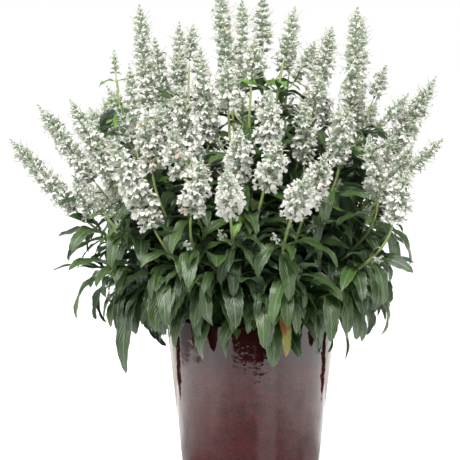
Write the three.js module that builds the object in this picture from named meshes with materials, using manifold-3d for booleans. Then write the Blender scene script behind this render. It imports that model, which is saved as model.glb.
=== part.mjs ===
// White perennial salvia in flower, in a round glazed pot. Millimetres, +Z up, origin at the centre of the
// pot's underside, the front towards -Y.
//
// The plant is twelve crowns set in the potting mix. Each crown sends up leafy stems with four sides, and
// each flowering stem carries one spike: a slim core ringed by whorls of florets. Leaves stand in opposite
// pairs, each pair turned a quarter from the pair below it. A crown, its stems and their leaves are one
// skin: a facet of the crown is drawn out into a stem, and a facet of the stem into a leaf.
import * as THREE from "three";
import { mergeVertices } from "three/addons/utils/BufferGeometryUtils.js";
import Module from "manifold-3d";

const wasm = await Module();
wasm.setup();

const { Vector2, Vector3 } = THREE;
const UP = new Vector3(0, 0, 1);
const TURN = 2 * Math.PI;
const DEG = Math.PI / 180;
const GOLDEN_ANGLE = 137.5 * DEG;

// ---- driving dimensions ----
const POT = { height: 230, rimRadius: 105, footRadius: 80.5, wall: 8, floor: 12, chamfer: 2.5, sides: 36 };
const SOIL = { top: 211, sides: 18 };
const SEAT_GAP = 0.35; // left between two pieces that touch
const CROWN = {
  count: 12,
  spread: 66, // radius of the disc that the crowns stand in
  radius: 10,
  topRadius: 3.5,
  depth: 14,
  height: 8,
  holeSides: 6,
  mostStems: 6,
  pull: 0.33, // a stem rises from the crown nearest to this share of its end's distance from the middle
};
const STEM = {
  baseRadius: 2.3,
  topRadius: 1.6,
  flare: 9, // length over which a facet of the crown narrows to the stem
  uprightness: 0.75, // how steeply a stem leaves its crown
  twist: 1.6, // widest turn of a stem's facets from its foot to its top, in radians
  nodeHalf: 1.7, // half the length of a facet that bears a leaf
  nodeSpacing: 31, // between leaf pairs
  lowestNode: 30,
  longGap: 70, // a longer stretch without leaves gets one more ring
  // how far a stem bends to its side, and upward, to pass the others
  bows: [
    ...[[0, 0], [7, 0], [-7, 0], [0, 9], [0, -9], [13, 5], [-13, 5], [13, -5], [-13, -5], [20, 0]],
    ...[[-20, 0], [26, 8], [-26, 8], [0, 18], [0, -16], [18, -12], [-18, -12]],
  ],
  pulls: [0.38, 0.3, 0.46, 0.22, 0.54], // share of its reach over which it turns
  clearance: 0.6,
};
// What a stem carries: bare length below its top, that length's spread, most leaf pairs, droop, leaf size.
const OUTER = { bare: 38, bareSpread: 22, pairs: 3, droop: 98, size: 0.94 };
const INNER = { bare: 38, bareSpread: 22, pairs: 2, droop: 92, size: 0.84 };
const BASAL = { bare: 5, bareSpread: 22, pairs: 3, droop: 96, size: 1.06 };
const OUTER_FROM = 95; // a flowering stem that ends further out than this is an outer one
const SHOOT = {
  count: 20,
  reach: 132,
  reachSpread: 24,
  widen: 1.18, // the bush is wider than it is deep
  shift: -10, // and leans to its left
  height: 282,
  heightSpread: 60,
  slope: 0.5,
};
const LEAF = {
  length: 75,
  width: 23,
  thickness: 1.5,
  fold: 0.24, // rise of the margins over the midrib, as a share of the half width
  wave: 1.3, // rise and fall of the margins
  stations: [[0.38, 1], [0.72, 0.76]], // place along the leaf, and its share of the widest half width there
  uprightness: 0.8, // how far a leaf follows its stem before it turns outward
  flatten: 0.8, // share of that rise that it keeps
  droopSpread: 40,
  rollSpread: 1.1,
  clearance: 1.1,
  attempts: 12,
};
const WHORL = { spacing: 14, coreShare: 0.45, lift: 0.16, fewest: 3, topRing: 0.96 };
const TIP_REACH = 2;

// Spikes, in millimetres: the tip, a lower point on the axis, and the reach of the open florets. The lower
// point is the spike's foot, unless a length follows: the foot then lies that far from the tip.
const OPEN = 17.5;
const HALF_OPEN = 15;
const SLIM = 12;
const BUD = 7;
const SPIKES = [
  [-290, -30, 445, -220, -20, 365, HALF_OPEN, 120],
  [-260, 20, 480, -200, 8, 400, HALF_OPEN, 115],
  [-215, -60, 495, -175, -45, 415, HALF_OPEN, 110],
  [-205, 120, 470, -175, 90, 410, HALF_OPEN, 105],
  [-190, 170, 475, -175, 140, 410, HALF_OPEN, 110],
  [-135, 10, 605, -125, 0, 480, HALF_OPEN, 130],
  [-120, 90, 560, -110, 75, 485, HALF_OPEN, 120],
  [-145, -40, 535, -140, -45, 475, SLIM, 90],
  [-165, -125, 460, -115, -110, 350, OPEN],
  [-90, 140, 575, -90, 120, 500, SLIM, 125],
  [-70, 40, 580, -75, 35, 530, SLIM, 47],
  [-60, -15, 545, -55, -20, 475, OPEN, 105],
  [-40, 60, 622, -25, 35, 490, HALF_OPEN],
  [-10, 150, 605, -10, 130, 540, SLIM, 125],
  [15, 105, 615, 15, 90, 530, HALF_OPEN, 78],
  [55, 60, 600, 42, 50, 540, SLIM],
  [5, -20, 568, 0, -25, 510, HALF_OPEN, 55],
  [-30, -70, 545, -28, -65, 490, OPEN, 58],
  [100, 40, 577, 80, 25, 495, HALF_OPEN, 80],
  [82, 150, 552, 80, 130, 500, SLIM, 110],
  [128, 10, 602, 120, 0, 488, HALF_OPEN, 130],
  [142, 120, 580, 135, 100, 510, HALF_OPEN, 120],
  [166, 30, 530, 150, 25, 488, SLIM, 44],
  [225, 20, 515, 177, 10, 425, HALF_OPEN, 115],
  [230, -40, 447, 193, -30, 409, SLIM, 80],
  [190, -80, 445, 162, -60, 390, HALF_OPEN, 85],
  [180, -110, 420, 165, -105, 355, OPEN],
  [135, -105, 460, 144, -87, 400, HALF_OPEN, 80],
  [-85, -70, 515, -76, -65, 445, OPEN, 85],
  [-95, -120, 475, -82, -110, 420, OPEN, 70],
  [-58, -155, 440, -68, -138, 380, OPEN, 75],
  [-30, -195, 430, -26, -160, 380, OPEN, 70],
  [-15, -140, 472, -16, -115, 413, OPEN, 70],
  [32, -152, 462, 17, -130, 408, OPEN, 70],
  [62, -195, 423, 48, -160, 378, OPEN, 65],
  [85, -140, 442, 70, -117, 392, OPEN, 70],
  [100, -95, 492, 102, -80, 437, HALF_OPEN, 75],
  [23, -92, 505, 19, -82, 457, OPEN, 65],
  [62, -68, 495, 62, -60, 437, HALF_OPEN, 75],
  [-125, -78, 485, -118, -70, 417, OPEN, 75],
];
// Young spikes still in tight bud, which stay in one piece with their stems.
const BUD_SPIKES = [
  [-168, 45, 546, -166, 42, 520, BUD],
  [-197, -78, 400, -178, -66, 365, BUD],
  [52, 112, 537, 49, 110, 512, BUD],
];
// More spikes close the far side of the bush, evenly spread: radius and height of tip and foot.
const FAR_SIDE = { count: 6, from: 22 * DEG, to: 141 * DEG, tip: [236, 485], foot: [172, 388], lift: 36 };

// ---- solids ----
// A closed skin that grows ring by ring. A ring is a list of corner numbers, counter-clockwise when seen
// from where the skin grows to.
class Skin {
  points = [];
  faces = [];

  add(...places) {
    return places.map((place) => this.points.push(place) - 1);
  }

  // Diagonals alternate round the band, so that the two faces of a thin blade are split alike.
  join(lower, upper) {
    facetsBetween(lower, upper).forEach(([a, b, c, d], j) => {
      this.faces.push(...(j % 2 ? [[a, b, d], [b, c, d]] : [[a, b, c], [a, c, d]]));
    });
  }

  // Adds a ring of four corners, turned to start where it lies nearest to the ring below, and joins it.
  drawOut(last, places) {
    const ring = this.add(...places);
    const turned = (turn) => ring.map((_, j) => ring[(j + turn) % 4]);
    const gap = (corner, j) => this.points[corner].distanceTo(this.points[last[j]]);
    const apartness = (r) => r.reduce((sum, corner, j) => sum + gap(corner, j), 0);
    const nearest = [0, 1, 2, 3].map(turned).reduce((best, r) => (apartness(r) < apartness(best) ? r : best));
    this.join(last, nearest);
    return nearest;
  }

  close(ring, place) {
    const [apex] = this.add(place);
    ring.forEach((a, j) => this.faces.push([a, ring[(j + 1) % ring.length], apex]));
  }

  closeBelow(ring, place) {
    this.close([...ring].reverse(), place);
  }

  solid() {
    return solidOf(new THREE.BufferGeometry().setFromPoints(this.points).setIndex(this.faces.flat()));
  }
}

const facetsBetween = (lower, upper) =>
  lower.map((a, j) => [a, lower[(j + 1) % lower.length], upper[(j + 1) % lower.length], upper[j]]);

function skinOver(rings, tip) {
  const skin = new Skin();
  const corners = rings.map((ring) => skin.add(...ring));
  skin.closeBelow(corners[0], mean(rings[0]));
  for (let i = 1; i < corners.length; i++) skin.join(corners[i - 1], corners[i]);
  skin.close(corners.at(-1), tip ?? mean(rings.at(-1)));
  return skin.solid();
}

function solidOf(geometry) {
  geometry.deleteAttribute("normal");
  geometry.deleteAttribute("uv");
  const merged = mergeVertices(geometry, 1e-3);
  return new wasm.Manifold(
    new wasm.Mesh({
      numProp: 3,
      vertProperties: new Float32Array(merged.attributes.position.array),
      triVerts: new Uint32Array(merged.index.array),
    }),
  );
}

function turnedSolid(profile, sides) {
  const points = profile.map(([r, z]) => new Vector2(r, z));
  return solidOf(new THREE.LatheGeometry(points, sides).rotateX(Math.PI / 2));
}

function meshOf(name, solid, material) {
  const { numProp, numVert, vertProperties, triVerts } = solid.getMesh();
  const places = new Float32Array(numVert * 3);
  for (let i = 0; i < numVert; i++) places.set(vertProperties.subarray(i * numProp, i * numProp + 3), i * 3);
  const geometry = new THREE.BufferGeometry()
    .setAttribute("position", new THREE.BufferAttribute(places, 3))
    .setIndex(new THREE.BufferAttribute(triVerts, 1));
  geometry.computeVertexNormals();
  const mesh = new THREE.Mesh(geometry, material);
  mesh.name = name;
  return mesh;
}

const mean = (points) => points.reduce((sum, p) => sum.add(p), new Vector3()).divideScalar(points.length);
const offset = (centre, x, a, y, b) => centre.clone().addScaledVector(x, a).addScaledVector(y, b);
const circle = (sides, place) => Array.from({ length: sides }, (_, j) => place((j / sides) * TURN));

// A number from 0 to 1 that is always the same for the same pair, and one spread evenly about nought.
function draw(a, b) {
  const s = Math.sin(a * 127.1 + b * 311.7 + 74.7) * 43758.5453;
  return s - Math.floor(s);
}
const drawAbout = (a, b, spread) => spread * (draw(a, b) - 0.5);

// ---- pot and potting mix ----
const potRadius = (z) => POT.footRadius + ((POT.rimRadius - POT.footRadius) / POT.height) * z;

function potSolid() {
  const { height, wall, floor, chamfer, footRadius, rimRadius, sides } = POT;
  const inner = (z) => potRadius(z) - wall;
  const profile = [
    [0, 0],
    [footRadius - chamfer, 0],
    [potRadius(chamfer), chamfer],
    [potRadius(height - chamfer), height - chamfer],
    [rimRadius - chamfer, height],
    [rimRadius - wall + chamfer, height],
    [inner(height - chamfer), height - chamfer],
    [inner(floor), floor],
    [0, floor],
  ];
  return turnedSolid(profile, sides);
}

// The mix fills the pot to its top level and has a plain hole for each crown.
function soilSolid(crowns) {
  const bottom = POT.floor + SEAT_GAP;
  const radius = (z) => (potRadius(z) - POT.wall) * Math.cos(Math.PI / POT.sides) - SEAT_GAP;
  const profile = [[0, bottom], [radius(bottom), bottom], [radius(SOIL.top), SOIL.top], [0, SOIL.top]];
  const holeRadius = (CROWN.radius + SEAT_GAP) / Math.cos(Math.PI / CROWN.holeSides);
  const holeDepth = CROWN.depth + SEAT_GAP;
  const holes = crowns.map(({ place }) => {
    const hole = new THREE.CylinderGeometry(holeRadius, holeRadius, 2 * holeDepth, CROWN.holeSides);
    return solidOf(hole.rotateX(Math.PI / 2).translate(place.x, place.y, SOIL.top));
  });
  return turnedSolid(profile, SOIL.sides).subtract(wasm.Manifold.union(holes));
}

// ---- spikes ----
function spikeOf([tx, ty, tz, lx, ly, lz, reach, givenLength], number) {
  const tip = new Vector3(tx, ty, tz);
  const axis = tip.clone().sub(new Vector3(lx, ly, lz));
  const length = givenLength ?? axis.length();
  axis.normalize();
  const foot = tip.clone().addScaledVector(axis, -length);
  const sideways = new Vector3(0, 1, 0).cross(axis).normalize();
  const over = new Vector3().crossVectors(axis, sideways);
  return { tip, foot, reach, length, axis, sideways, over, phase: TURN * draw(number, 41) };
}

function farSideSpikes() {
  const { count, from, to, tip, foot, lift } = FAR_SIDE;
  return Array.from({ length: count }, (_, k) => {
    const angle = from + ((to - from) * k) / (count - 1);
    const end = ([r, z]) => [r * Math.cos(angle), r * Math.sin(angle), z + drawAbout(k, 5, lift)];
    return [...end(tip), ...end(foot), HALF_OPEN];
  });
}

// Reach of the florets along a spike: full for most of its length, closing to a point of buds.
function reachAt(spike, t) {
  return Math.max(TIP_REACH, spike.reach * Math.min(1, 0.8 + t) * (1 - 0.3 * t) * Math.sqrt(1 - t ** 3));
}

function spikePoint(spike, t, angle, radius) {
  const centre = spike.foot.clone().addScaledVector(spike.axis, t * spike.length);
  const turned = angle + spike.phase;
  return offset(centre, spike.sideways, radius * Math.cos(turned), spike.over, radius * Math.sin(turned));
}

// Whorl above whorl, each turned half a facet from the last: a slim core that rises to a floret on every
// facet.
function drawOutWhorls(skin, foot, spike) {
  const whorls = Math.max(WHORL.fewest, Math.round(spike.length / WHORL.spacing));
  let last = foot;
  for (let i = 1; i <= whorls; i++) {
    const t = (i / whorls) * WHORL.topRing;
    const slim = reachAt(spike, t) * WHORL.coreShare;
    const ring = skin.add(...circle(4, (angle) => spikePoint(spike, t, angle + (i * TURN) / 8, slim)));
    for (const facet of facetsBetween(last, ring)) {
      const middle = mean(facet.map((corner) => skin.points[corner]));
      const s = (i - 0.5 + WHORL.lift) / whorls;
      const centre = spikePoint(spike, s * WHORL.topRing, 0, 0);
      const out = middle.sub(centre).projectOnPlane(spike.axis).normalize();
      skin.close(facet, centre.addScaledVector(out, reachAt(spike, s)));
    }
    last = ring;
  }
  skin.close(last, spike.tip);
}

function spikeSolid(spike) {
  const skin = new Skin();
  const foot = circle(4, (angle) => spikePoint(spike, 0, angle, reachAt(spike, 0) * WHORL.coreShare));
  const ring = skin.add(...foot);
  skin.closeBelow(ring, spike.foot);
  drawOutWhorls(skin, ring, spike);
  return skin.solid();
}

// The space that a spike's florets fill, which leaves and stems keep out of.
function spikeRoom(spike) {
  const ring = (t) => circle(6, (angle) => spikePoint(spike, t, angle, reachAt(spike, t) + LEAF.clearance));
  return skinOver([0, 0.3, 0.65, 1].map(ring));
}

// ---- stems ----
// A stem's centre line: up and out of its crown, arriving along the axis of what it carries. Each further
// attempt bows it another way, and then changes how soon it turns.
function stemCurve({ start, end, axis, across }, attempt) {
  const [aside, lift] = STEM.bows[attempt % STEM.bows.length];
  const pull = STEM.pulls[Math.floor(attempt / STEM.bows.length)] * start.distanceTo(end);
  const bow = across.clone().multiplyScalar(aside).addScaledVector(UP, lift);
  const rise = end.clone().sub(start).normalize().addScaledVector(UP, STEM.uprightness).normalize();
  return new THREE.CubicBezierCurve3(
    start,
    offset(start, rise, pull, bow, 1),
    offset(end, axis, -pull, bow, 0.5),
    end,
  );
}

// The direction across a stem at t that lies so many turns round it from its first corner.
function stemOutward(stem, t, turns) {
  const along = stem.curve.getTangent(t);
  const over = stem.across.clone().projectOnPlane(along).normalize();
  const sideways = new Vector3().crossVectors(along, over);
  const angle = stem.phase + stem.twist * t + turns * TURN;
  return over.multiplyScalar(Math.cos(angle)).addScaledVector(sideways, Math.sin(angle));
}

function stemRing(stem, t, extra = 0) {
  const radius = STEM.baseRadius + (STEM.topRadius - STEM.baseRadius) * t + extra;
  const centre = stem.curve.getPoint(t);
  return [0, 1, 2, 3].map((j) => centre.clone().addScaledVector(stemOutward(stem, t, j / 4), radius));
}

// Rings stand at a stem's ends, below and above each leaf pair, and once more in a long gap.
function ringPlaces(stem) {
  const length = stem.curve.getLength();
  const places = [STEM.flare / length];
  const goTo = (t) => {
    const last = places.at(-1);
    if ((t - last) * length > STEM.longGap) places.push((last + t) / 2);
    places.push(t);
  };
  for (const t of [...stem.pairs].reverse()) {
    goTo(t - STEM.nodeHalf / length);
    goTo(t + STEM.nodeHalf / length);
  }
  goTo(1);
  return places;
}

// The leaf pairs along a stem, counted down from its top, as places on its curve.
function pairPlaces(stem) {
  const { bare, bareSpread, pairs } = stem.habit;
  const length = stem.curve.getLength();
  const highest = length - bare - bareSpread * draw(stem.number, 9);
  const places = [];
  for (let s = highest; s > STEM.lowestNode && places.length < pairs; s -= STEM.nodeSpacing) {
    places.push(s / length);
  }
  return places;
}

// ---- leaves ----
// How one leaf grows, worked out from its stem, its pair, its side and how many tries came before. It
// stands on one facet of its stem.
function leafGrowth(stem, pair, side, attempt) {
  const key = stem.number * 31 + pair * 7 + side * 3;
  const vary = (n, spread) => drawAbout(key, n + 10 * attempt, spread);
  const t = stem.pairs[pair];
  const facet = ((pair + stem.number) % 2) + 2 * side;
  const out = stemOutward(stem, t, (facet + 0.5) / 4);
  const start = offset(out, stem.curve.getTangent(t), LEAF.uprightness, UP, 0).normalize();
  const bearing = Math.atan2(start.y, start.x) + vary(1, 0.6 + 0.2 * attempt);
  const size = (0.84 + 0.3 * draw(key, 3)) * (1 - 0.03 * attempt) * stem.habit.size;
  return {
    facet,
    t,
    root: stem.curve.getPoint(t).addScaledVector(out, STEM.topRadius * Math.SQRT1_2),
    heading: new Vector3(Math.cos(bearing), Math.sin(bearing), 0),
    pitch: Math.asin(start.z) * LEAF.flatten + vary(2, 0.4 + 0.08 * attempt),
    droop: (stem.habit.droop + vary(4, LEAF.droopSpread)) * DEG,
    roll: vary(5, LEAF.rollSpread),
    length: LEAF.length * size,
    width: LEAF.width * size,
  };
}

// A leaf's midrib is an arc that starts at its pitch and droops evenly to the tip.
function leafFrame(leaf, t) {
  const angle = leaf.pitch - leaf.droop * t;
  const bendRadius = leaf.length / leaf.droop;
  const ahead = bendRadius * (Math.sin(leaf.pitch) - Math.sin(angle));
  const rise = bendRadius * (Math.cos(angle) - Math.cos(leaf.pitch));
  const across = new Vector3().crossVectors(leaf.heading, UP);
  const face = leaf.heading.clone().multiplyScalar(-Math.sin(angle)).addScaledVector(UP, Math.cos(angle));
  const roll = leaf.roll * t;
  return {
    centre: offset(leaf.root, leaf.heading, ahead, UP, rise),
    sideways: across.clone().multiplyScalar(Math.cos(roll)).addScaledVector(face, Math.sin(roll)),
    upward: face.clone().multiplyScalar(Math.cos(roll)).addScaledVector(across, -Math.sin(roll)),
  };
}

// Four corners across a leaf: margin, midrib above, margin, midrib below.
function leafRing({ centre, sideways, upward }, half, thick, rise = 0, wave = 0) {
  return [
    offset(centre, sideways, -half, upward, rise - wave),
    offset(centre, sideways, 0, upward, thick),
    offset(centre, sideways, half, upward, rise + wave),
    offset(centre, sideways, 0, upward, -thick),
  ];
}

function leafRings(leaf, extra = 0) {
  return LEAF.stations.map(([t, share], i) => {
    const half = (leaf.width / 2) * share;
    const wave = i % 2 ? LEAF.wave : -LEAF.wave;
    return leafRing(leafFrame(leaf, t), half + extra, LEAF.thickness / 2 + extra, LEAF.fold * half, wave);
  });
}

// The room that a leaf needs round it.
function leafRoom(leaf) {
  const half = STEM.nodeHalf + LEAF.clearance;
  const petiole = leafRing(leafFrame(leaf, 0), half, half);
  return skinOver([petiole, ...leafRings(leaf, LEAF.clearance)], leafFrame(leaf, 1).centre);
}

function drawOutLeaf(skin, facet, leaf) {
  const blade = leafRings(leaf).reduce((last, ring) => skin.drawOut(last, ring), facet);
  skin.close(blade, leafFrame(leaf, 1).centre);
}

// ---- crowns ----
function crownPlace(k) {
  const reach = CROWN.spread * Math.sqrt((k + 0.5) / CROWN.count);
  return new Vector3(reach * Math.cos(k * GOLDEN_ANGLE), reach * Math.sin(k * GOLDEN_ANGLE), SOIL.top);
}

// From the foot in the mix up to the top. Between the last two rings lies a sloping facet for each stem.
function crownRings({ place, turn, stems }) {
  const sides = stems.length;
  const ring = (r, z) =>
    circle(sides, (angle) => {
      const a = angle + turn - Math.PI / sides;
      return place.clone().add(new Vector3(r * Math.cos(a), r * Math.sin(a), z));
    });
  const { radius, topRadius, depth, height } = CROWN;
  return [ring(radius * 0.6, -depth), ring(radius, -depth / 2), ring(radius, 1), ring(topRadius, height)];
}

function drawOutStem(skin, facet, stem) {
  const places = ringPlaces(stem);
  let last = skin.add(...stemRing(stem, places[0]));
  skin.join(facet, last);
  for (let i = 1; i < places.length; i++) {
    const ring = skin.add(...stemRing(stem, places[i]));
    const here = stem.leaves.filter((leaf) => leaf.t > places[i - 1] && leaf.t < places[i]);
    facetsBetween(last, ring).forEach((side, j) => {
      const leaf = here.find((l) => l.facet === j);
      if (leaf) drawOutLeaf(skin, side, leaf);
      else skin.faces.push([side[0], side[1], side[2]], [side[0], side[2], side[3]]);
    });
    last = ring;
  }
  if (stem.bud) drawOutWhorls(skin, last, stem.bud);
  else skin.close(last, stem.end);
}

function plantSolid(crown) {
  const skin = new Skin();
  const [foot, waist, edge, top] = crownRings(crown).map((ring) => skin.add(...ring));
  skin.closeBelow(foot, offset(crown.place, UP, -CROWN.depth, UP, 0));
  skin.join(foot, waist);
  skin.join(waist, edge);
  facetsBetween(edge, top).forEach((facet, j) => {
    if (crown.stems[j]) drawOutStem(skin, facet, crown.stems[j]);
    else skin.faces.push([facet[0], facet[1], facet[2]], [facet[0], facet[2], facet[3]]);
  });
  skin.close(top, offset(crown.place, UP, CROWN.height, UP, 0));
  return skin.solid();
}

// ---- which stems rise from which crown ----
const crowns = Array.from({ length: CROWN.count }, (_, k) => ({ place: crownPlace(k), load: 0 }));

function nearestCrown(end) {
  const wanted = end.clone().multiplyScalar(CROWN.pull).setZ(SOIL.top);
  const open = crowns.filter((crown) => crown.load < CROWN.mostStems);
  const distance = (crown) => wanted.distanceTo(crown.place);
  const nearest = open.reduce((best, crown) => (distance(crown) < distance(best) ? crown : best));
  nearest.load++;
  return nearest;
}

function floweringStem(spike) {
  const end = offset(spike.foot, spike.axis, -SEAT_GAP, UP, 0);
  const habit = Math.hypot(end.x, end.y) > OUTER_FROM ? OUTER : INNER;
  return { crown: nearestCrown(end), end, axis: spike.axis, habit, carries: spike };
}

function buddingStem(spike) {
  const end = spike.foot;
  const habit = Math.hypot(end.x, end.y) > OUTER_FROM ? OUTER : INNER;
  return { crown: nearestCrown(end), end, axis: spike.axis, habit, carries: spike, bud: spike };
}

// Short leafy shoots lean out over the rim, all the way round.
function basalShoot(k) {
  const angle = (k / SHOOT.count) * TURN + 0.3 * draw(k, 21);
  const out = new Vector3(Math.cos(angle), Math.sin(angle), 0);
  const end = out.clone().multiplyScalar(SHOOT.reach + drawAbout(k, 22, SHOOT.reachSpread));
  end.x = end.x * SHOOT.widen + SHOOT.shift;
  end.z = SHOOT.height + drawAbout(k, 23, SHOOT.heightSpread);
  const axis = offset(out, UP, SHOOT.slope, UP, 0).normalize();
  return { crown: nearestCrown(end.clone().multiplyScalar(1.5)), end, axis, habit: BASAL };
}

const spikes = [...SPIKES, ...farSideSpikes()].map(spikeOf);
const buds = BUD_SPIKES.map(spikeOf);
const shoots = Array.from({ length: SHOOT.count }, (_, k) => k);
const stems = [...spikes.map(floweringStem), ...buds.map(buddingStem), ...shoots.map(basalShoot)];

// The stems of one crown stand round it in the order in which they lean, and the crown is turned to suit.
for (const crown of crowns) {
  const own = stems.filter((stem) => stem.crown === crown);
  const lean = ({ end }) => end.clone().sub(crown.place).divideScalar(end.z - SOIL.top);
  const middle = mean(own.map(lean));
  const bearing = (stem) => Math.atan2(lean(stem).y - middle.y, lean(stem).x - middle.x);
  own.sort((a, b) => bearing(a) - bearing(b));
  const sides = Math.max(4, own.length);
  const suited = new Vector2();
  crown.stems = Array(sides).fill(null);
  own.forEach((stem, n) => {
    const facet = Math.round((n * sides) / own.length);
    const angle = bearing(stem) - (facet / sides) * TURN;
    crown.stems[facet] = stem;
    suited.add(new Vector2(Math.cos(angle), Math.sin(angle)));
  });
  crown.turn = suited.angle();
  const [, , edge, top] = crownRings(crown);
  facetsBetween(edge, top).forEach((facet, j) => {
    if (crown.stems[j]) Object.assign(crown.stems[j], { start: mean(facet), corner: facet[0] });
  });
}

// ---- growing clear of each other ----
const taken = [];
const take = (solid, owner) => taken.push({ solid, owner, box: solid.boundingBox() });
const apart = (a, b) => [0, 1, 2].some((i) => a.min[i] > b.max[i] || b.min[i] > a.max[i]);

function isClear(solid, ...friends) {
  const box = solid.boundingBox();
  const blocks = (other) => !apart(box, other.box) && !solid.intersect(other.solid).isEmpty();
  return !taken.some((other) => !friends.includes(other.owner) && blocks(other));
}

// A stem bows a little differently until it passes all the others.
function growStem(stem) {
  const lean = stem.end.clone().sub(stem.start);
  stem.across = new Vector3(-lean.y, lean.x, 0).normalize();
  stem.twist = drawAbout(stem.number, 31, STEM.twist);
  for (let attempt = 0; attempt < STEM.bows.length * STEM.pulls.length; attempt++) {
    stem.curve = stemCurve(stem, attempt);
    stem.pairs = pairPlaces(stem);
    stem.phase = 0;
    const t = STEM.flare / stem.curve.getLength();
    const corner = stem.corner.clone().sub(stem.curve.getPoint(t));
    const [over, sideways] = [0, 0.25].map((turns) => stemOutward({ ...stem, twist: 0 }, t, turns));
    stem.phase = Math.atan2(corner.dot(sideways), corner.dot(over));
    const room = skinOver(ringPlaces(stem).map((place) => stemRing(stem, place, STEM.clearance)));
    if (!isClear(room, stem.carries ?? stem)) continue;
    take(room, stem);
    return;
  }
  throw new Error(`stem ${stem.number} finds no way past the others`);
}

// A leaf turns and droops a little differently until it finds a clear place, or isn't grown.
function growLeaf(stem, pair, side) {
  const node = `stem ${stem.number} pair ${pair}`;
  for (let attempt = 0; attempt < LEAF.attempts; attempt++) {
    const leaf = leafGrowth(stem, pair, side, attempt);
    const room = leafRoom(leaf);
    if (!isClear(room, stem, node)) continue;
    take(room, node);
    stem.leaves.push(leaf);
    return;
  }
}

const pot = potSolid();
const soil = soilSolid(crowns);
take(pot);
take(soil);
[...spikes, ...buds].forEach((spike) => take(spikeRoom(spike), spike));
stems.forEach((stem, number) => Object.assign(stem, { number, leaves: [] }));
const lowestFirst = [...stems].reverse();
lowestFirst.forEach(growStem);
crowns.forEach((crown) => take(skinOver(crownRings(crown))));
for (const stem of lowestFirst)
  stem.pairs.forEach((_, pair) => {
    growLeaf(stem, pair, 0);
    growLeaf(stem, pair, 1);
  });

// ---- the part ----
const glaze = new THREE.MeshStandardMaterial({ color: 0x4a1c1c, roughness: 0.16, metalness: 0 });
const earth = new THREE.MeshStandardMaterial({ color: 0x2b2018, roughness: 0.95, metalness: 0 });
const foliage = new THREE.MeshStandardMaterial({ color: 0x35532c, roughness: 0.48, metalness: 0 });
const bloom = new THREE.MeshStandardMaterial({ color: 0xdfe4d8, roughness: 0.75, metalness: 0 });

const numbered = (name, n) => `${name}_${String(n + 1).padStart(2, "0")}`;
const salvia = new THREE.Group();
salvia.add(meshOf("pot", pot, glaze), meshOf("potting_mix", soil, earth));
crowns.forEach((crown, n) => salvia.add(meshOf(numbered("leafy_stems", n), plantSolid(crown), foliage)));
spikes.forEach((spike, n) => salvia.add(meshOf(numbered("flower_spike", n), spikeSolid(spike), bloom)));

export default salvia;
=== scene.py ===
# %% [markdown]
# # A white salvia in a glazed pot
# The packed model gives every piece its place: the pot, the potting mix, twelve crowns of leafy stems and
# forty-six flower spikes. Its leaves and florets are coarse. This lesson grows fine ones over them: the same
# stems are worked out again, and leaves, calyces and florets are copied along them from small templates. The
# plant and its pot are in millimetres until a mesh is made, because plants are easier to think about that
# way. The camera, the lights and the floor are placed in metres.

# %% The frame
import math
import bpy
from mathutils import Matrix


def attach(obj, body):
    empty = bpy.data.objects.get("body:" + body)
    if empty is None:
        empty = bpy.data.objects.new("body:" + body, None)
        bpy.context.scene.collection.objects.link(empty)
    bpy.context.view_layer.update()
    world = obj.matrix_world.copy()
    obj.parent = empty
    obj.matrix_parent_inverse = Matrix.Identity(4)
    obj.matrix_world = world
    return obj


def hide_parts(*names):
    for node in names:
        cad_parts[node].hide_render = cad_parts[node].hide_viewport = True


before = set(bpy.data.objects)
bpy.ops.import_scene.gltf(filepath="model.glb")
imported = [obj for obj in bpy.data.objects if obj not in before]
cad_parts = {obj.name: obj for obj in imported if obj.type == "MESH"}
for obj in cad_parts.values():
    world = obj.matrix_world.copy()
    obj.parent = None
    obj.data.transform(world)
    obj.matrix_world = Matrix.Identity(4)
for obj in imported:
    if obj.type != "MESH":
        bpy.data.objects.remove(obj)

from types import SimpleNamespace

import bmesh
import bpy
import numpy as np
from mathutils import Matrix, Vector
from mathutils.kdtree import KDTree

MM = 0.001
TURN = 2 * math.pi
UP = np.array([0.0, 0.0, 1.0])
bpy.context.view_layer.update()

# %% [markdown]
# ## Camera
# A close camera would splay the tall spikes and make the near ones big. A long lens from well back keeps
# them upright and their sizes true. The camera looks down by nine degrees at the middle of the leaves, and
# the foot of the pot falls below the picture.

# %% Camera
CAMERA_TARGET = Vector((-0.0256, 0.0, 0.3287))
CAMERA_DISTANCE = 2.4
CAMERA_ELEVATION = math.radians(9)
CAMERA_LENS = 153.95  # mm on a 36 mm sensor

camera_data = bpy.data.cameras.new("camera")
camera_data.lens = CAMERA_LENS
camera = bpy.data.objects.new("camera", camera_data)
back = Vector((0, -math.cos(CAMERA_ELEVATION), math.sin(CAMERA_ELEVATION)))
camera.location = CAMERA_TARGET + CAMERA_DISTANCE * back
camera.rotation_euler = (math.pi / 2 - CAMERA_ELEVATION, 0, 0)
bpy.context.scene.collection.objects.link(camera)
bpy.context.scene.camera = camera
print("camera at", [round(c, 3) for c in camera.location])

# %% [markdown]
# ## Studio
# The plant stands in a white studio. A single lamp would leave hard shadows among the leaves, so the world
# is a soft white dome, and two tall softboxes at the sides and one above give the leaves their sheen and the
# glaze its long reflections. The camera sees the dome brighter than it lights, as white paper. The Standard
# view keeps the white of the petals as bright as it is lit.

# %% World and softboxes
DOME = 0.3  # how strongly the dome lights the plant
BACKDROP = 1.0  # how bright the camera sees it
WHITE = (1.0, 1.0, 1.0)
BLACK = (0.0, 0.0, 0.0)
LIT = (0, 0, 0.35)  # where the softboxes point

scene = bpy.context.scene
scene.view_settings.view_transform = "Standard"
world = bpy.data.worlds.new("white studio")
world.use_nodes = True
scene.world = world

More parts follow.
